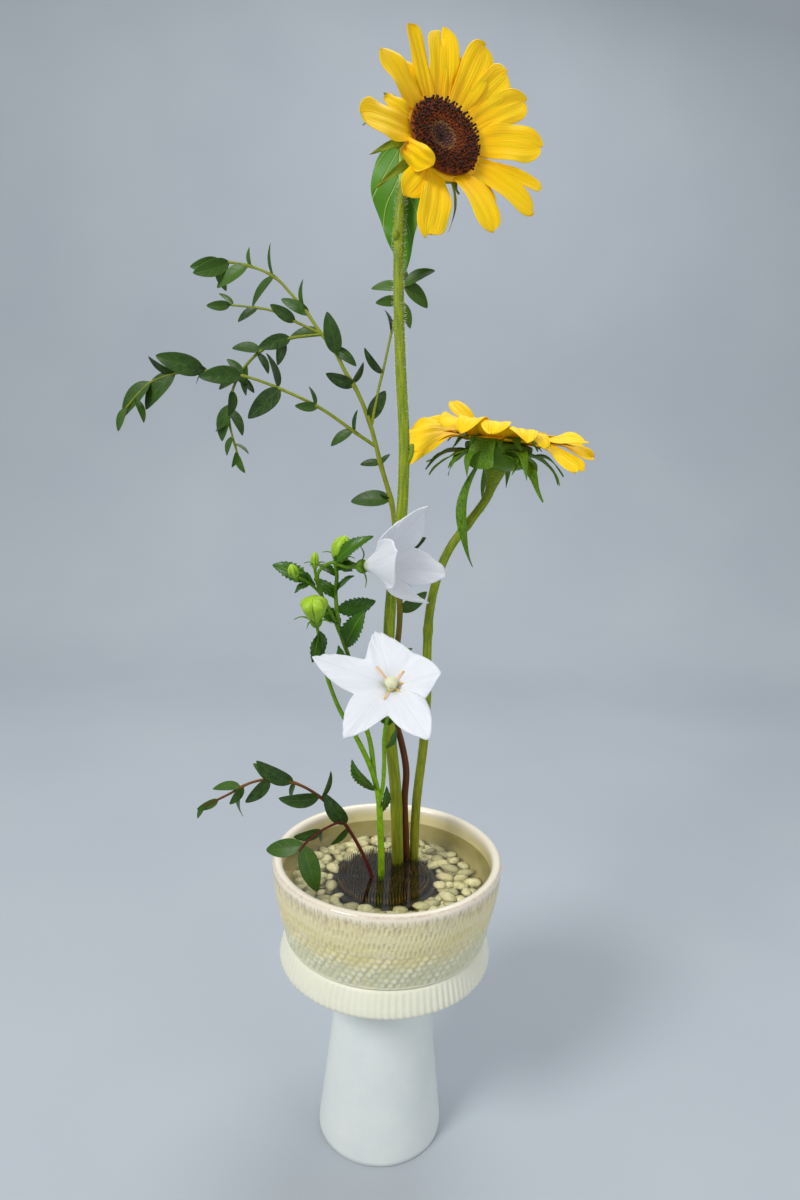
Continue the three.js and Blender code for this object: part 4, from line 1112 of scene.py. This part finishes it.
def pin_holder():
    shape = open_mesh()
    turned(shape, [
        (0, 0), (HOLDER_RADIUS - 1, 0), (HOLDER_RADIUS, 0.8), (HOLDER_RADIUS, 6.6),
        (HOLDER_RADIUS - 0.5, 7.6), (HOLDER_RADIUS - 1.6, 8), (39, 8), (38.4, 7.4), (0, 7.4),
    ], 96, place=Matrix.Translation(HOLDER))
    finished("pin_holder_base", shape, [LEAD], ["pin_holder"])
    pins = open_mesh()
    for circle in range(12):
        radius = RING_GAP * circle
        count = max(1, round(2 * math.pi * radius / PIN_GAP))
        for k in range(count):
            foot = HOLDER + polar(360 * k / count + 23 * circle, radius, 7)
            tip = Vector((foot.x, foot.y, PIN_TOP - 0.2))
            spike(pins, foot, tip, 0.7, 0.26, 5)
    finished("pin_holder_pins", pins, [BRASS], ["pin_holder"])


def pebble_places():
    """Spots round the pin holder, in two layers, where pebbles don't crowd each other."""
    spread = PEBBLES_TO - PEBBLES_FROM
    places = []
    for layer, tries in ((0, 900), (1, 500)):
        for _ in range(tries):
            spot = polar(360 * luck.random(), PEBBLES_FROM + spread * luck.random(), 0)
            size = 3.6 + 2.4 * luck.random()
            gap = (spot - Vector((HOLDER.x, HOLDER.y, 0))).length
            near = HOLDER_RADIUS + (size * 0.75 if layer == 0 else -1)
            if gap < near or spot.length > WALL_AT_PEBBLES - size:
                continue
            apart = 0.78 * size
            if any(at == layer and (spot - p).length < apart + 0.78 * s for p, s, at in places):
                continue
            places.append((spot, size, layer))
    return places


def pebbles():
    shape = open_mesh()
    for spot, size, layer in pebble_places():
        # A lumpy ball is flattened, turned and laid down.
        made = dot(shape, (0, 0, 0), (1, 1, 1), 2, luck.random())
        phase = [6 * luck.random() for _ in range(3)]
        for point in made:
            x, y, z = point.co
            lump = 1 + 0.1 * math.sin(2.3 * x + phase[0]) + 0.1 * math.sin(2.9 * y + phase[1])
            lump += 0.07 * math.sin(3.1 * z + phase[2])
            point.co *= lump
        long = size * (1.15 + 0.4 * luck.random())
        flat = min(size * (0.66 + 0.2 * luck.random()), 4.6)
        bmesh.ops.scale(shape, vec=(long, size, flat), verts=made)
        turn = Quaternion((0, 0, 1), 6.3 * luck.random())
        lean = Quaternion((1, 0, 0), 0.5 * luck.random() - 0.25)
        height = FLOOR_TOP + flat + (4.2 if layer else 0.1)
        height = min(height, LAYER_TOPS[layer] - flat * (1 if layer else 0.9))
        matrix = Matrix.Translation((spot.x, spot.y, height))
        matrix = matrix @ (turn @ lean).to_matrix().to_4x4()
        bmesh.ops.transform(shape, matrix=matrix, verts=made)
    finished("pebbles_loose", shape, [PEBBLE], ["pebbles"])


def water():
    shape = open_mesh()
    turned(shape, [
        (0, 195.7), (70.2, 195.7), (76.3, 198.8), (79.9, 203.3), (81.9, 209.9),
        (82.7, 218), (83, 227.2), (82.9, 228.2), (81.6, 227.95), (0, 227.9),
    ], 96)
    finished("water_still", shape, [WATER], ["water"])


# ---------- sunflowers ----------


def sunflower_petal(shape, entry, layer):
    clock, reach, width, rise, arch, notch, twist = entry
    depth = -1.2 - 0.7 * layer
    blade(
        shape, polar(clock, 24.5, depth - 0.3), polar(clock, reach, depth + rise), (0, 0, 1),
        width, petal_outline((0.5 + 0.4 * luck.random()) * width / (reach - 24)), arch=arch,
        fold=0.1, slant=0.09 * (luck.random() - 0.5), wave=0.8 + 0.8 * luck.random(),
        waves=1.5 + 2 * luck.random(), groove=0.42, notch=notch,
        twist=math.radians(twist + 16 * (luck.random() - 0.5)),
        curl=2.4 * (luck.random() - 0.4), bend=3 * (luck.random() - 0.5), ragged=0.05,
        rows=26, columns=14,
    )


def petals(name, head, entries, nodes, folded=None):
    """A head's petals in three layers, and the ring that joins them."""
    shape = open_mesh()
    for k, entry in enumerate(entries):
        sunflower_petal(shape, entry, k % 3)
    if folded:
        start, end, radius = folded["start"], folded["end"], folded["radius"]
        blade(
            shape, polar(start, radius, -1.5), polar(end, radius, folded["rise"]),
            polar((start + end) / 2, 0.7, 1), folded["width"], petal_outline(0.3), arch=5,
            groove=1.3, wave=2.2, waves=2.4, ragged=0.12, bend=2, rows=20, columns=14,
        )
    turned(shape, [(19, -3), (29, -3), (29.3, -1.6), (29, -0.4), (19, -0.4), (19, -3)], 48)
    finished(name, shape, [YELLOW], nodes, rounds=1,
             place=head_frame(head))


def disc_height(share):
    """The cushion's height at a share of the disc's radius."""
    return 0.8 + 3.6 * math.sin(math.pi * min(1, share * 0.9)) ** 0.8 if share > 0 else 0.8


def shift_whorl(point, inward):
    """Moves the middle of the whorl off the middle of the head."""
    point.x += WHORL_SHIFT[0] * inward
    point.y += WHORL_SHIFT[1] * inward


def seed_disc(name, head, nodes):
    """The cushion with its florets: open ones outside, closed ones further in."""
    shape = open_mesh()
    cushion = [(0, 0), (DISC_RADIUS - 0.6, 0), (DISC_RADIUS, 0.5), (DISC_RADIUS, 1.2)]
    cushion += [(DISC_RADIUS * k / 16, disc_height(k / 16) - 0.3) for k in range(15, -1, -1)]
    made = turned(shape, cushion, 64)
    for point in made:
        inward = 1 - math.hypot(point.co.x, point.co.y) / DISC_RADIUS
        tint_part(shape, [point], 0.12 + 0.44 * smoothstep(0.25, 0.5, 1 - inward))
        if point.co.z > 0.6:
            shift_whorl(point.co, inward)
    for k in range(FLORETS):
        share = math.sqrt((k + 0.5) / FLORETS)
        spot = polar(GOLDEN_ANGLE * k, DISC_RADIUS * 0.97 * share, 0)
        shift_whorl(spot, 1 - share)
        spot.z = disc_height(share) - 0.5
        lean = Vector((spot.x, spot.y, 0)) * (0.02 * smoothstep(0.5, 1, share))
        lean += Vector((luck.random() - 0.5, luck.random() - 0.5, 0)) * 0.9 * share
        way = Vector((lean.x, lean.y, 1)).normalized()
        if share > OPEN_FROM and k % 4:
            tall = 2.2 + 1.6 * luck.random()
            middle = spot + way * tall * 0.6
            spike(shape, spot, middle, 0.62, 0.46, 5, tone=0.5 + 0.16 * luck.random())
            spike(shape, middle, spot + way * tall, 0.56, 0.9, 5,
                  tone=0.9 + 0.1 * luck.random())
        elif share > CLOSED_FROM:
            tall = 1.3 + 1.1 * luck.random()
            spike(shape, spot, spot + way * tall, 0.8, 0.36, 5,
                  tone=0.36 + 0.32 * luck.random())
        else:
            size = 0.5 + 0.6 * share
            spike(shape, spot, spot + Vector((0, 0, 1.3)), size, size * 0.3, 5,
                  tone=0.06 + 0.62 * share + 0.08 * luck.random())
    finished(name, shape, [FLORET], nodes, place=head_frame(head))


def receptacle(shape, head, outline):
    """The green cup behind a head, whose rim is the same on both heads."""
    profile = [*outline, (26.4, -9), (26.5, -6), (26, -3.5), (0, -3.4)]
    turned(shape, profile, 48, tone=0.4, place=head_frame(head))


def bracts(
    shape, head, entries, height, outline=needle, start=20, stagger=2, arch=6, curl=9
):
    """A whorl of bracts whose feet are `start` from the head's axis."""
    place = head_frame(head)
    for k, (clock, length, droop, width) in enumerate(entries):
        foot = height + stagger * (k % 2)
        known = set(shape.verts)
        blade(
            shape, polar(clock, start, foot), polar(clock, start + length, foot - droop),
            (0, 0, 1), width, outline, arch=arch, fold=0.2, wave=1.1,
            curl=curl * (luck.random() - 0.4),
            twist=(0.3 if width > 16 else 1.3) * (luck.random() - 0.5),
            bend=8 * (luck.random() - 0.5), rows=18, columns=6, thickness=0.8,
        )
        move_new(shape, known, place)


def stem_hairs(shape, route, radius, count, low, high, length):
    """Fine hairs on a stalk, between two shares of its length."""
    for _ in range(count):
        share = low + (high - low) * luck.random()
        way = route.way(share)
        first = way.orthogonal().normalized()
        out = Quaternion(way, 6.283 * luck.random()) @ first
        foot = route.at(share) + out * (radius - 0.1)
        tip = foot + (out + way * 0.5 * luck.random()).normalized() * length * (
            0.6 + 0.6 * luck.random())
        spike(shape, foot, tip, 0.14, 0.03)


def knotted(start, end, knots):
    """The radius along a stem that swells at each knot."""
    def radius(along, around):
        swell = sum(size * math.exp(-((along - at) / 0.008) ** 2) for at, size in knots)
        return start + (end - start) * along + swell + 0.1 * math.sin(6 * math.pi * around)
    return radius


def tall_stem():
    """The tall sunflower's stalk with its cut stub and scars, its cup, its leaf and hairs."""
    route = Route(TALL_ROUTE)
    shape = open_mesh()
    tube(shape, route, knotted(4.9, 3.5, [(0.115, 0.5), (0.45, 0.5), (0.9, 0.7)]), 20, 90, 0.3)
    stub = Route([(0, 4, 455), (6, 3, 461), (9, 3, 467)])
    tube(shape, stub, lambda along, around: 2.4 - 0.4 * along, 12, 8, 0.6)
    scar = Route([(4.6, 6, 545), (8.2, 5, 552), (8.8, 4.6, 560)])
    tube(shape, scar, lambda along, around: 2.4 - 0.8 * along, 12, 8, 0.7)
    dot(shape, (-7.4, 16.6, 703), (2.6, 2.8, 3.6), 3, 0.9)
    receptacle(shape, TALL_HEAD, TALL_CUP)
    bracts(shape, TALL_HEAD, TALL_BRACTS, -8)
    bracts(
        shape, TALL_HEAD, BACK_BRACTS, -15.8, bract_outline, start=11, stagger=0, arch=-1.2,
        curl=3,
    )
    petiole = Route([(0, 23, 744), (-4, 30, 756), (-6, 34, 768), (-6, 35, 772)])
    tube(shape, petiole, lambda along, around: 2 - 0.8 * along, 12, 12, 0.6)
    finished("sunflower_tall_stalk", shape, [STEM_GREEN], ["sunflower_tall_stem"],
             rounds=1)
    leaf = open_mesh()
    blade(
        leaf, (-6, 34, 769), (-1, 37, 682), (-0.35, -1, 0), 42, heart, arch=5, fold=0.12,
        wave=2.2, waves=5, curl=2, rows=40, columns=20,
    )
    finished("sunflower_tall_leaf", leaf, [BIG_LEAF], ["sunflower_tall_stem"],
             rounds=1)
    hairs = open_mesh()
    stem_hairs(hairs, route, 3.9, 1500, 0.3, 0.7, 1.4)
    stem_hairs(hairs, route, 3.6, 1100, 0.7, 0.96, 2.4)
    finished("sunflower_tall_hairs", hairs, [HAIR], ["sunflower_tall_stem"])


def low_stem():
    """The low sunflower's bent stalk, its cup with the long hanging leaf, and its hairs."""
    route = Route(LOW_ROUTE)
    shape = open_mesh()
    knots = [(0.4, 0.4), (0.6, 0.9), (0.86, 1.3)]
    tube(shape, route, knotted(3.8, 3.3, knots), 20, 70, 0.3)
    neck = Route([(68, 46, 518), (71, 47, 525), (73.6, 47.6, 534), (75, 48, 543)])
    tube(shape, neck, lambda along, around: 3.2 + 6.5 * along ** 2.2, 20, 14, 0.5)
    finished("sunflower_low_stalk", shape, [STEM_GREEN], ["sunflower_low_stem"],
             rounds=1)
    cup = open_mesh()
    receptacle(cup, LOW_HEAD, LOW_CUP)
    bracts(cup, LOW_HEAD, LOW_BRACTS, -13, bract_outline, curl=14)
    bracts(cup, LOW_HEAD, UPPER_BRACTS, -5.5, bract_outline)
    blade(
        cup, (62, 39, 549), (59, 26, 468), (-1, -0.6, 0.2), 13, lance, arch=13, fold=0.25,
        wave=0.8, rows=28, columns=8, thickness=0.8,
    )
    known = set(cup.verts)
    blade(
        cup, polar(242, 29, -2), polar(242, 30.5, -25), polar(242, 1, 0.2), 21, apron_outline,
        arch=1.5, wave=1, fold=0.1, bend=0.8, rows=22, columns=12, thickness=0.8,
    )
    move_new(cup, known, head_frame(LOW_HEAD))
    finished("sunflower_low_cup", cup, [BRACT_GREEN], ["sunflower_low_stem"],
             rounds=1)
    hairs = open_mesh()
    stem_hairs(hairs, route, 3.7, 700, 0.3, 0.97, 0.9)
    finished("sunflower_low_hairs", hairs, [HAIR], ["sunflower_low_stem"])


# ---------- eucalyptus ----------


def twig_leaves(shape, twig):
    """Oval leaves that stand by turns a little forward and a little back."""
    route = Route(twig["route"])
    for k, (along, clock, length, turn) in enumerate(twig["leaves"]):
        root = route.at(along)
        angle = math.radians(clock)
        lean = 0.22 if k % 2 else -0.22
        way = Vector((math.cos(angle), lean, math.sin(angle))).normalized()
        face = Quaternion(way, math.radians(turn if k % 2 else -turn)) @ Vector((0, -1, 0.25))
        blade(
            shape, root - way * 0.6, root + way * length, face, length * 0.44, ovate,
            arch=length * 0.07, fold=0.2, curl=length * 0.05 * luck.random(),
            bend=length * 0.08 * (luck.random() - 0.5), thickness=0.5,
            tone=0.5 * luck.random() + 0.5 * smoothstep(0.7, 1, along),
        )


def eucalyptus(name, main, others, bark, node):
    twigs = open_mesh()
    leaves = open_mesh()
    for twig in (main, *others):
        route = Route(twig["route"])
        start, end = twig["radius"]
        knots = [(along, 0.25) for along, *_ in twig["leaves"]]
        radius = knotted(start, end, knots)
        tube(twigs, route, radius, 12, max(20, int(route.length / 4)), 0.5)
        twig_leaves(leaves, twig)
    finished(name + "_twigs", twigs, [bark], [node], rounds=1)
    finished(name + "_leaves", leaves, [BLUE_LEAF], [node], rounds=1)


# ---------- bellflowers ----------


def bell_height(bloom, radius):
    """The corolla's height at a radius, without what its lobes add."""
    return bloom["flare"] * radius - bloom["depth"] * math.exp(-radius / 11)


def calyx(shape, frame_here, radius, depth, length, curl):
    """A green cup with five narrow lobes."""
    turned(shape, [
        (0, depth - 7), (radius * 0.5, depth - 6.2), (radius * 0.85, depth - 3),
        (radius * 0.9, depth - 1), (radius * 0.75, depth + 0.6), (0, depth + 1),
    ], 20, tone=0.5, place=frame_here)
    for k in range(5):
        clock = 72 * k + 36
        known = set(shape.verts)
        blade(
            shape, polar(clock, radius * 0.6, depth - 1.4),
            polar(clock, radius * 0.9 + length, depth + curl), (0, 0, 1), 3, needle,
            arch=1.6, curl=2.6, bend=1, rows=10, columns=2, thickness=0.7,
        )
        move_new(shape, known, frame_here)


def bud(shape, root, towards, radius, length, outline):
    """A five-sided bud."""
    profile = Route([(r * radius, 0, z * length) for r, z in outline])

    def place(around, along):
        point = profile.at(along)
        angle = 2 * math.pi * around
        ridge = abs(math.sin(2.5 * angle))
        full = math.sin(math.pi * along)
        here = point.x * (1.05 - 0.32 * full * (1 - ridge ** 0.6))
        return Vector((here * math.cos(angle), here * math.sin(angle), point.z))

    made = ring(shape, 50, 24, place, 0.5)
    close_ends(shape, made)
    turn = Vector(towards).to_track_quat("Z", "Y").to_matrix().to_4x4()
    bmesh.ops.transform(shape, matrix=Matrix.Translation(root) @ turn, verts=made)


def bellflower_spray():
    """The branched stems with the green cups, the toothed leaves and the buds."""
    stems = open_mesh()
    for stem in BELL_STEMS:
        route = Route(stem["route"])
        start, end = stem["radius"]
        knots = [(0.13, 0.5), (0.24, 0.5), (0.3, 0.4), (0.55, 0.3), (0.8, 0.3)]
        tube(stems, route, knotted(start, end, knots), 14,
             max(24, int(route.length / 4)), 0.5)
    for root, towards, radius, *_ in BELL_BUDS:
        head = {"centre": root, "facing": towards, "up": (0, 1, 0)}
        calyx(stems, head_frame(head), radius * 0.55, 3, 3 + radius * 0.7, 3)
    for bloom in (LOWER_BLOOM, UPPER_BLOOM):
        calyx(stems, head_frame(bloom), 6, bell_height(bloom, THROAT) - 1.8, 9, 4)
    finished("bellflower_stems", stems, [BELL_STEM], ["bellflower_spray"],
             rounds=1)
    leaves = open_mesh()
    for k, (root, clock, length, width, turn) in enumerate(BELL_LEAVES):
        angle = math.radians(clock)
        way = Vector((math.cos(angle), 0.15 if k % 2 else -0.25, math.sin(angle))).normalized()
        face = Quaternion(way, math.radians(turn if k % 2 else -turn)) @ Vector((0, -1, 0.3))
        blade(
            leaves, root, Vector(root) + way * length, face, width, lance,
            arch=length * 0.08, fold=0.22, teeth=max(6, length / 3.2), curl=length * 0.06,
            wave=0.4, rows=int(length * 2.2), columns=8, thickness=0.5,
        )
    finished("bellflower_leaves", leaves, [BELL_LEAF], ["bellflower_spray"])
    buds = open_mesh()
    for entry in BELL_BUDS:
        bud(buds, *entry)
    finished("bellflower_buds", buds, [BUD_GREEN], ["bellflower_spray"])


def bloom_edge(bloom, around):
    """The corolla's edge at a share of the way round: its clock angle, its reach, its rise,
    and how far it is from the lobe's tip, which is 0 there and 1 or -1 between lobes."""
    lobes = bloom["lobes"]
    place = around * len(lobes)
    index = min(int(place), len(lobes) - 1)
    share = 2 * (place - index) - 1
    clock, reach, rise, slim = lobes[index]
    before = (lobes[index - 1][0] - clock - 360) % -360
    after = (lobes[(index + 1) % len(lobes)][0] - clock) % 360
    away = -share * before / 2 if share < 0 else share * after / 2
    point = (1 - abs(share)) ** slim
    sinus = bloom["sinus"]
    return clock + away, sinus + (reach - sinus) * point, rise * point, share


def corolla(shape, bloom):
    """A five-lobed bell with a crease along each lobe."""

    def place(around, along):
        clock, reach, rise, share = bloom_edge(bloom, around % 1)
        radius = THROAT + (reach - THROAT) * along ** 1.15
        height = bell_height(bloom, radius) + rise * along ** 2.5
        height -= 0.7 * math.exp(-(share / 0.1) ** 2) * along * (1 - 0.6 * along)
        height -= 2 * share * share * along ** 3
        height += 1.3 * math.sin(5 * along + 44 * around) * along * along
        height += 1.6 * (1 - abs(share)) ** 3 * along ** 6 * math.sin(17 * around + reach)
        return polar(clock, radius, height)

    thicken(shape, ring(shape, 160, 26, place, 0.5), 0.6)


def bloom(name, flower, node):
    """An open bell with its round pistil and its stamens."""
    place = head_frame(flower)
    bell = open_mesh()
    corolla(bell, flower)
    finished(name + "_corolla", bell, [WHITE], [node], place=place)
    base = bell_height(flower, THROAT)
    pistil = open_mesh()
    top = flower["ball"]
    turned(pistil, [
        (0, base - 0.4), (3.8, base + 0.2), (3.2, base + 2), (2, top - 5), (1.5, top - 3),
        (0, top - 2.4),
    ], 24)
    ball = dot(pistil, (0, 0, top), (4.6, 4.6, 4.2), 3)
    for point in ball:
        angle = math.atan2(point.co.y, point.co.x)
        point.co.xy *= 1 - 0.1 * abs(math.cos(2.5 * angle)) ** 8
    finished(name + "_pistil", pistil, [PISTIL], [node], 1, place)
    stamens = open_mesh()
    for clock, reach in flower["stamens"]:
        route = Route([
            polar(clock, 2.4, top - 2), polar(clock, 5.4, bell_height(flower, 5.4) + 2.4),
            polar(clock, reach * 0.7, bell_height(flower, reach * 0.7) + 2.2),
            polar(clock, reach, bell_height(flower, reach) + 1.4),
        ])
        tube(stamens, route, lambda along, around: 0.28 + 0.22 * along, 8, 12, 0.5)
    finished(name + "_stamens", stamens, [STAMEN], [node], place=place)


# ---------- the arrangement ----------

bowl()
pedestal()
pin_holder()
pebbles()
water()
tall_stem()
petals("sunflower_tall_rays", TALL_HEAD, TALL_PETALS, ["sunflower_tall_petals"], FOLDED_PETAL)
seed_disc("sunflower_tall_florets", TALL_HEAD, ["sunflower_tall_disc"])
low_stem()
petals("sunflower_low_rays", LOW_HEAD, LOW_PETALS, ["sunflower_low_petals"])
seed_disc("sunflower_low_florets", LOW_HEAD, ["sunflower_low_disc"])
eucalyptus("eucalyptus_tall", BRANCH, TWIGS, BROWN_TWIG, "eucalyptus_branch")
eucalyptus("eucalyptus_short", SPRIG, [SPRIG_SIDE], RED_TWIG, "eucalyptus_sprig")
bellflower_spray()
bloom("bloom_lower", LOWER_BLOOM, "bellflower_bloom_lower")
bloom("bloom_upper", UPPER_BLOOM, "bellflower_bloom_upper")

# ---------- floor, light and camera ----------


PAPER_WIDTH = 8000
# How far behind the arrangement the paper starts to rise.
PAPER_RISES = 900


def stage():
    """The pale paper behind and below, which isn't part of the arrangement."""
    shape = bmesh.new()
    sweep = Route([
        (0, -2400, 0), (0, -1200, 0), (0, 0, 0), (0, PAPER_RISES, 0), (0, 1500, 40),
        (0, 1850, 420), (0, 1950, 1200), (0, 2000, 3200),
    ])

    def place(across, along):
        point = sweep.at(along)
        height = 0 if point.y < PAPER_RISES else point.z
        return Vector(((across - 0.5) * PAPER_WIDTH, point.y, height))

    made = bmesh.ops.create_grid(shape, x_segments=1, y_segments=120, size=0.5)["verts"]
    for point in made:
        point.co = place(point.co.x + 0.5, point.co.y + 0.5)
    bmesh.ops.scale(shape, vec=(METRES, METRES, METRES), verts=shape.verts)
    for face in shape.faces:
        face.smooth = True
    mesh = bpy.data.meshes.new("backdrop")
    shape.to_mesh(mesh)
    shape.free()
    backdrop = bpy.data.objects.new("backdrop", mesh)
    bpy.context.scene.collection.objects.link(backdrop)
    paper = Finish("pale_paper", 0.9)
    paper.paint(paper.blend(paper.noise(0.003, 2), colour(168, 176, 184), colour(180, 187, 193)))
    mesh.materials.append(paper.material)


def soft_light(name, place, aim, size, power, shade):
    data = bpy.data.lights.new(name, "AREA")
    data.shape = "DISK"
    data.size = size
    data.energy = power
    data.color = shade
    lamp = bpy.data.objects.new(name, data)
    bpy.context.scene.collection.objects.link(lamp)
    lamp.location = place
    lamp.rotation_mode = "QUATERNION"
    lamp.rotation_quaternion = (Vector(aim) - Vector(place)).to_track_quat("-Z", "Y")


def studio():
    """Three soft lights and a pale sky. Places and sizes here are in metres."""
    soft_light("key_light", (-1.5, -1.5, 2.1), (0, 0, 0.45), 0.9, 48, (1, 0.99, 0.965))
    soft_light("fill_light", (1.8, -1.2, 1.2), (0, 0, 0.45), 1.6, 11, (0.98, 0.99, 1))
    soft_light("top_light", (0.3, 0.9, 2.4), (0, 0, 0.5), 1.4, 24, (0.98, 0.99, 1))
    world = bpy.data.worlds.new("studio_air")
    bpy.context.scene.world = world
    world.use_nodes = True
    sky = world.node_tree.nodes["Background"]
    sky.inputs[0].default_value = (0.90, 0.92, 0.95, 1)
    sky.inputs[1].default_value = 0.46


# Where the camera stands, in metres, and how it is held.
CAMERA_PLACE = (0, -0.58365, 0.55879)
CAMERA_RIGHT = Vector((0.999512169, -0.0000184657514, 0.0312317623))
CAMERA_FORWARD = Vector((0.00597142, 0.98166453, -0.19052318))


def camera():
    data = bpy.data.cameras.new("camera")
    data.lens = 24
    data.sensor_width = 36
    data.clip_start = 0.01
    data.clip_end = 50
    made = bpy.data.objects.new("camera", data)
    bpy.context.scene.collection.objects.link(made)
    upward = CAMERA_RIGHT.cross(CAMERA_FORWARD)
    turn = Matrix((CAMERA_RIGHT, upward, -CAMERA_FORWARD)).transposed().to_4x4()
    made.matrix_world = Matrix.Translation(CAMERA_PLACE) @ turn
    bpy.context.scene.camera = made


stage()
studio()
camera()
bpy.context.scene.view_settings.view_transform = "Standard"
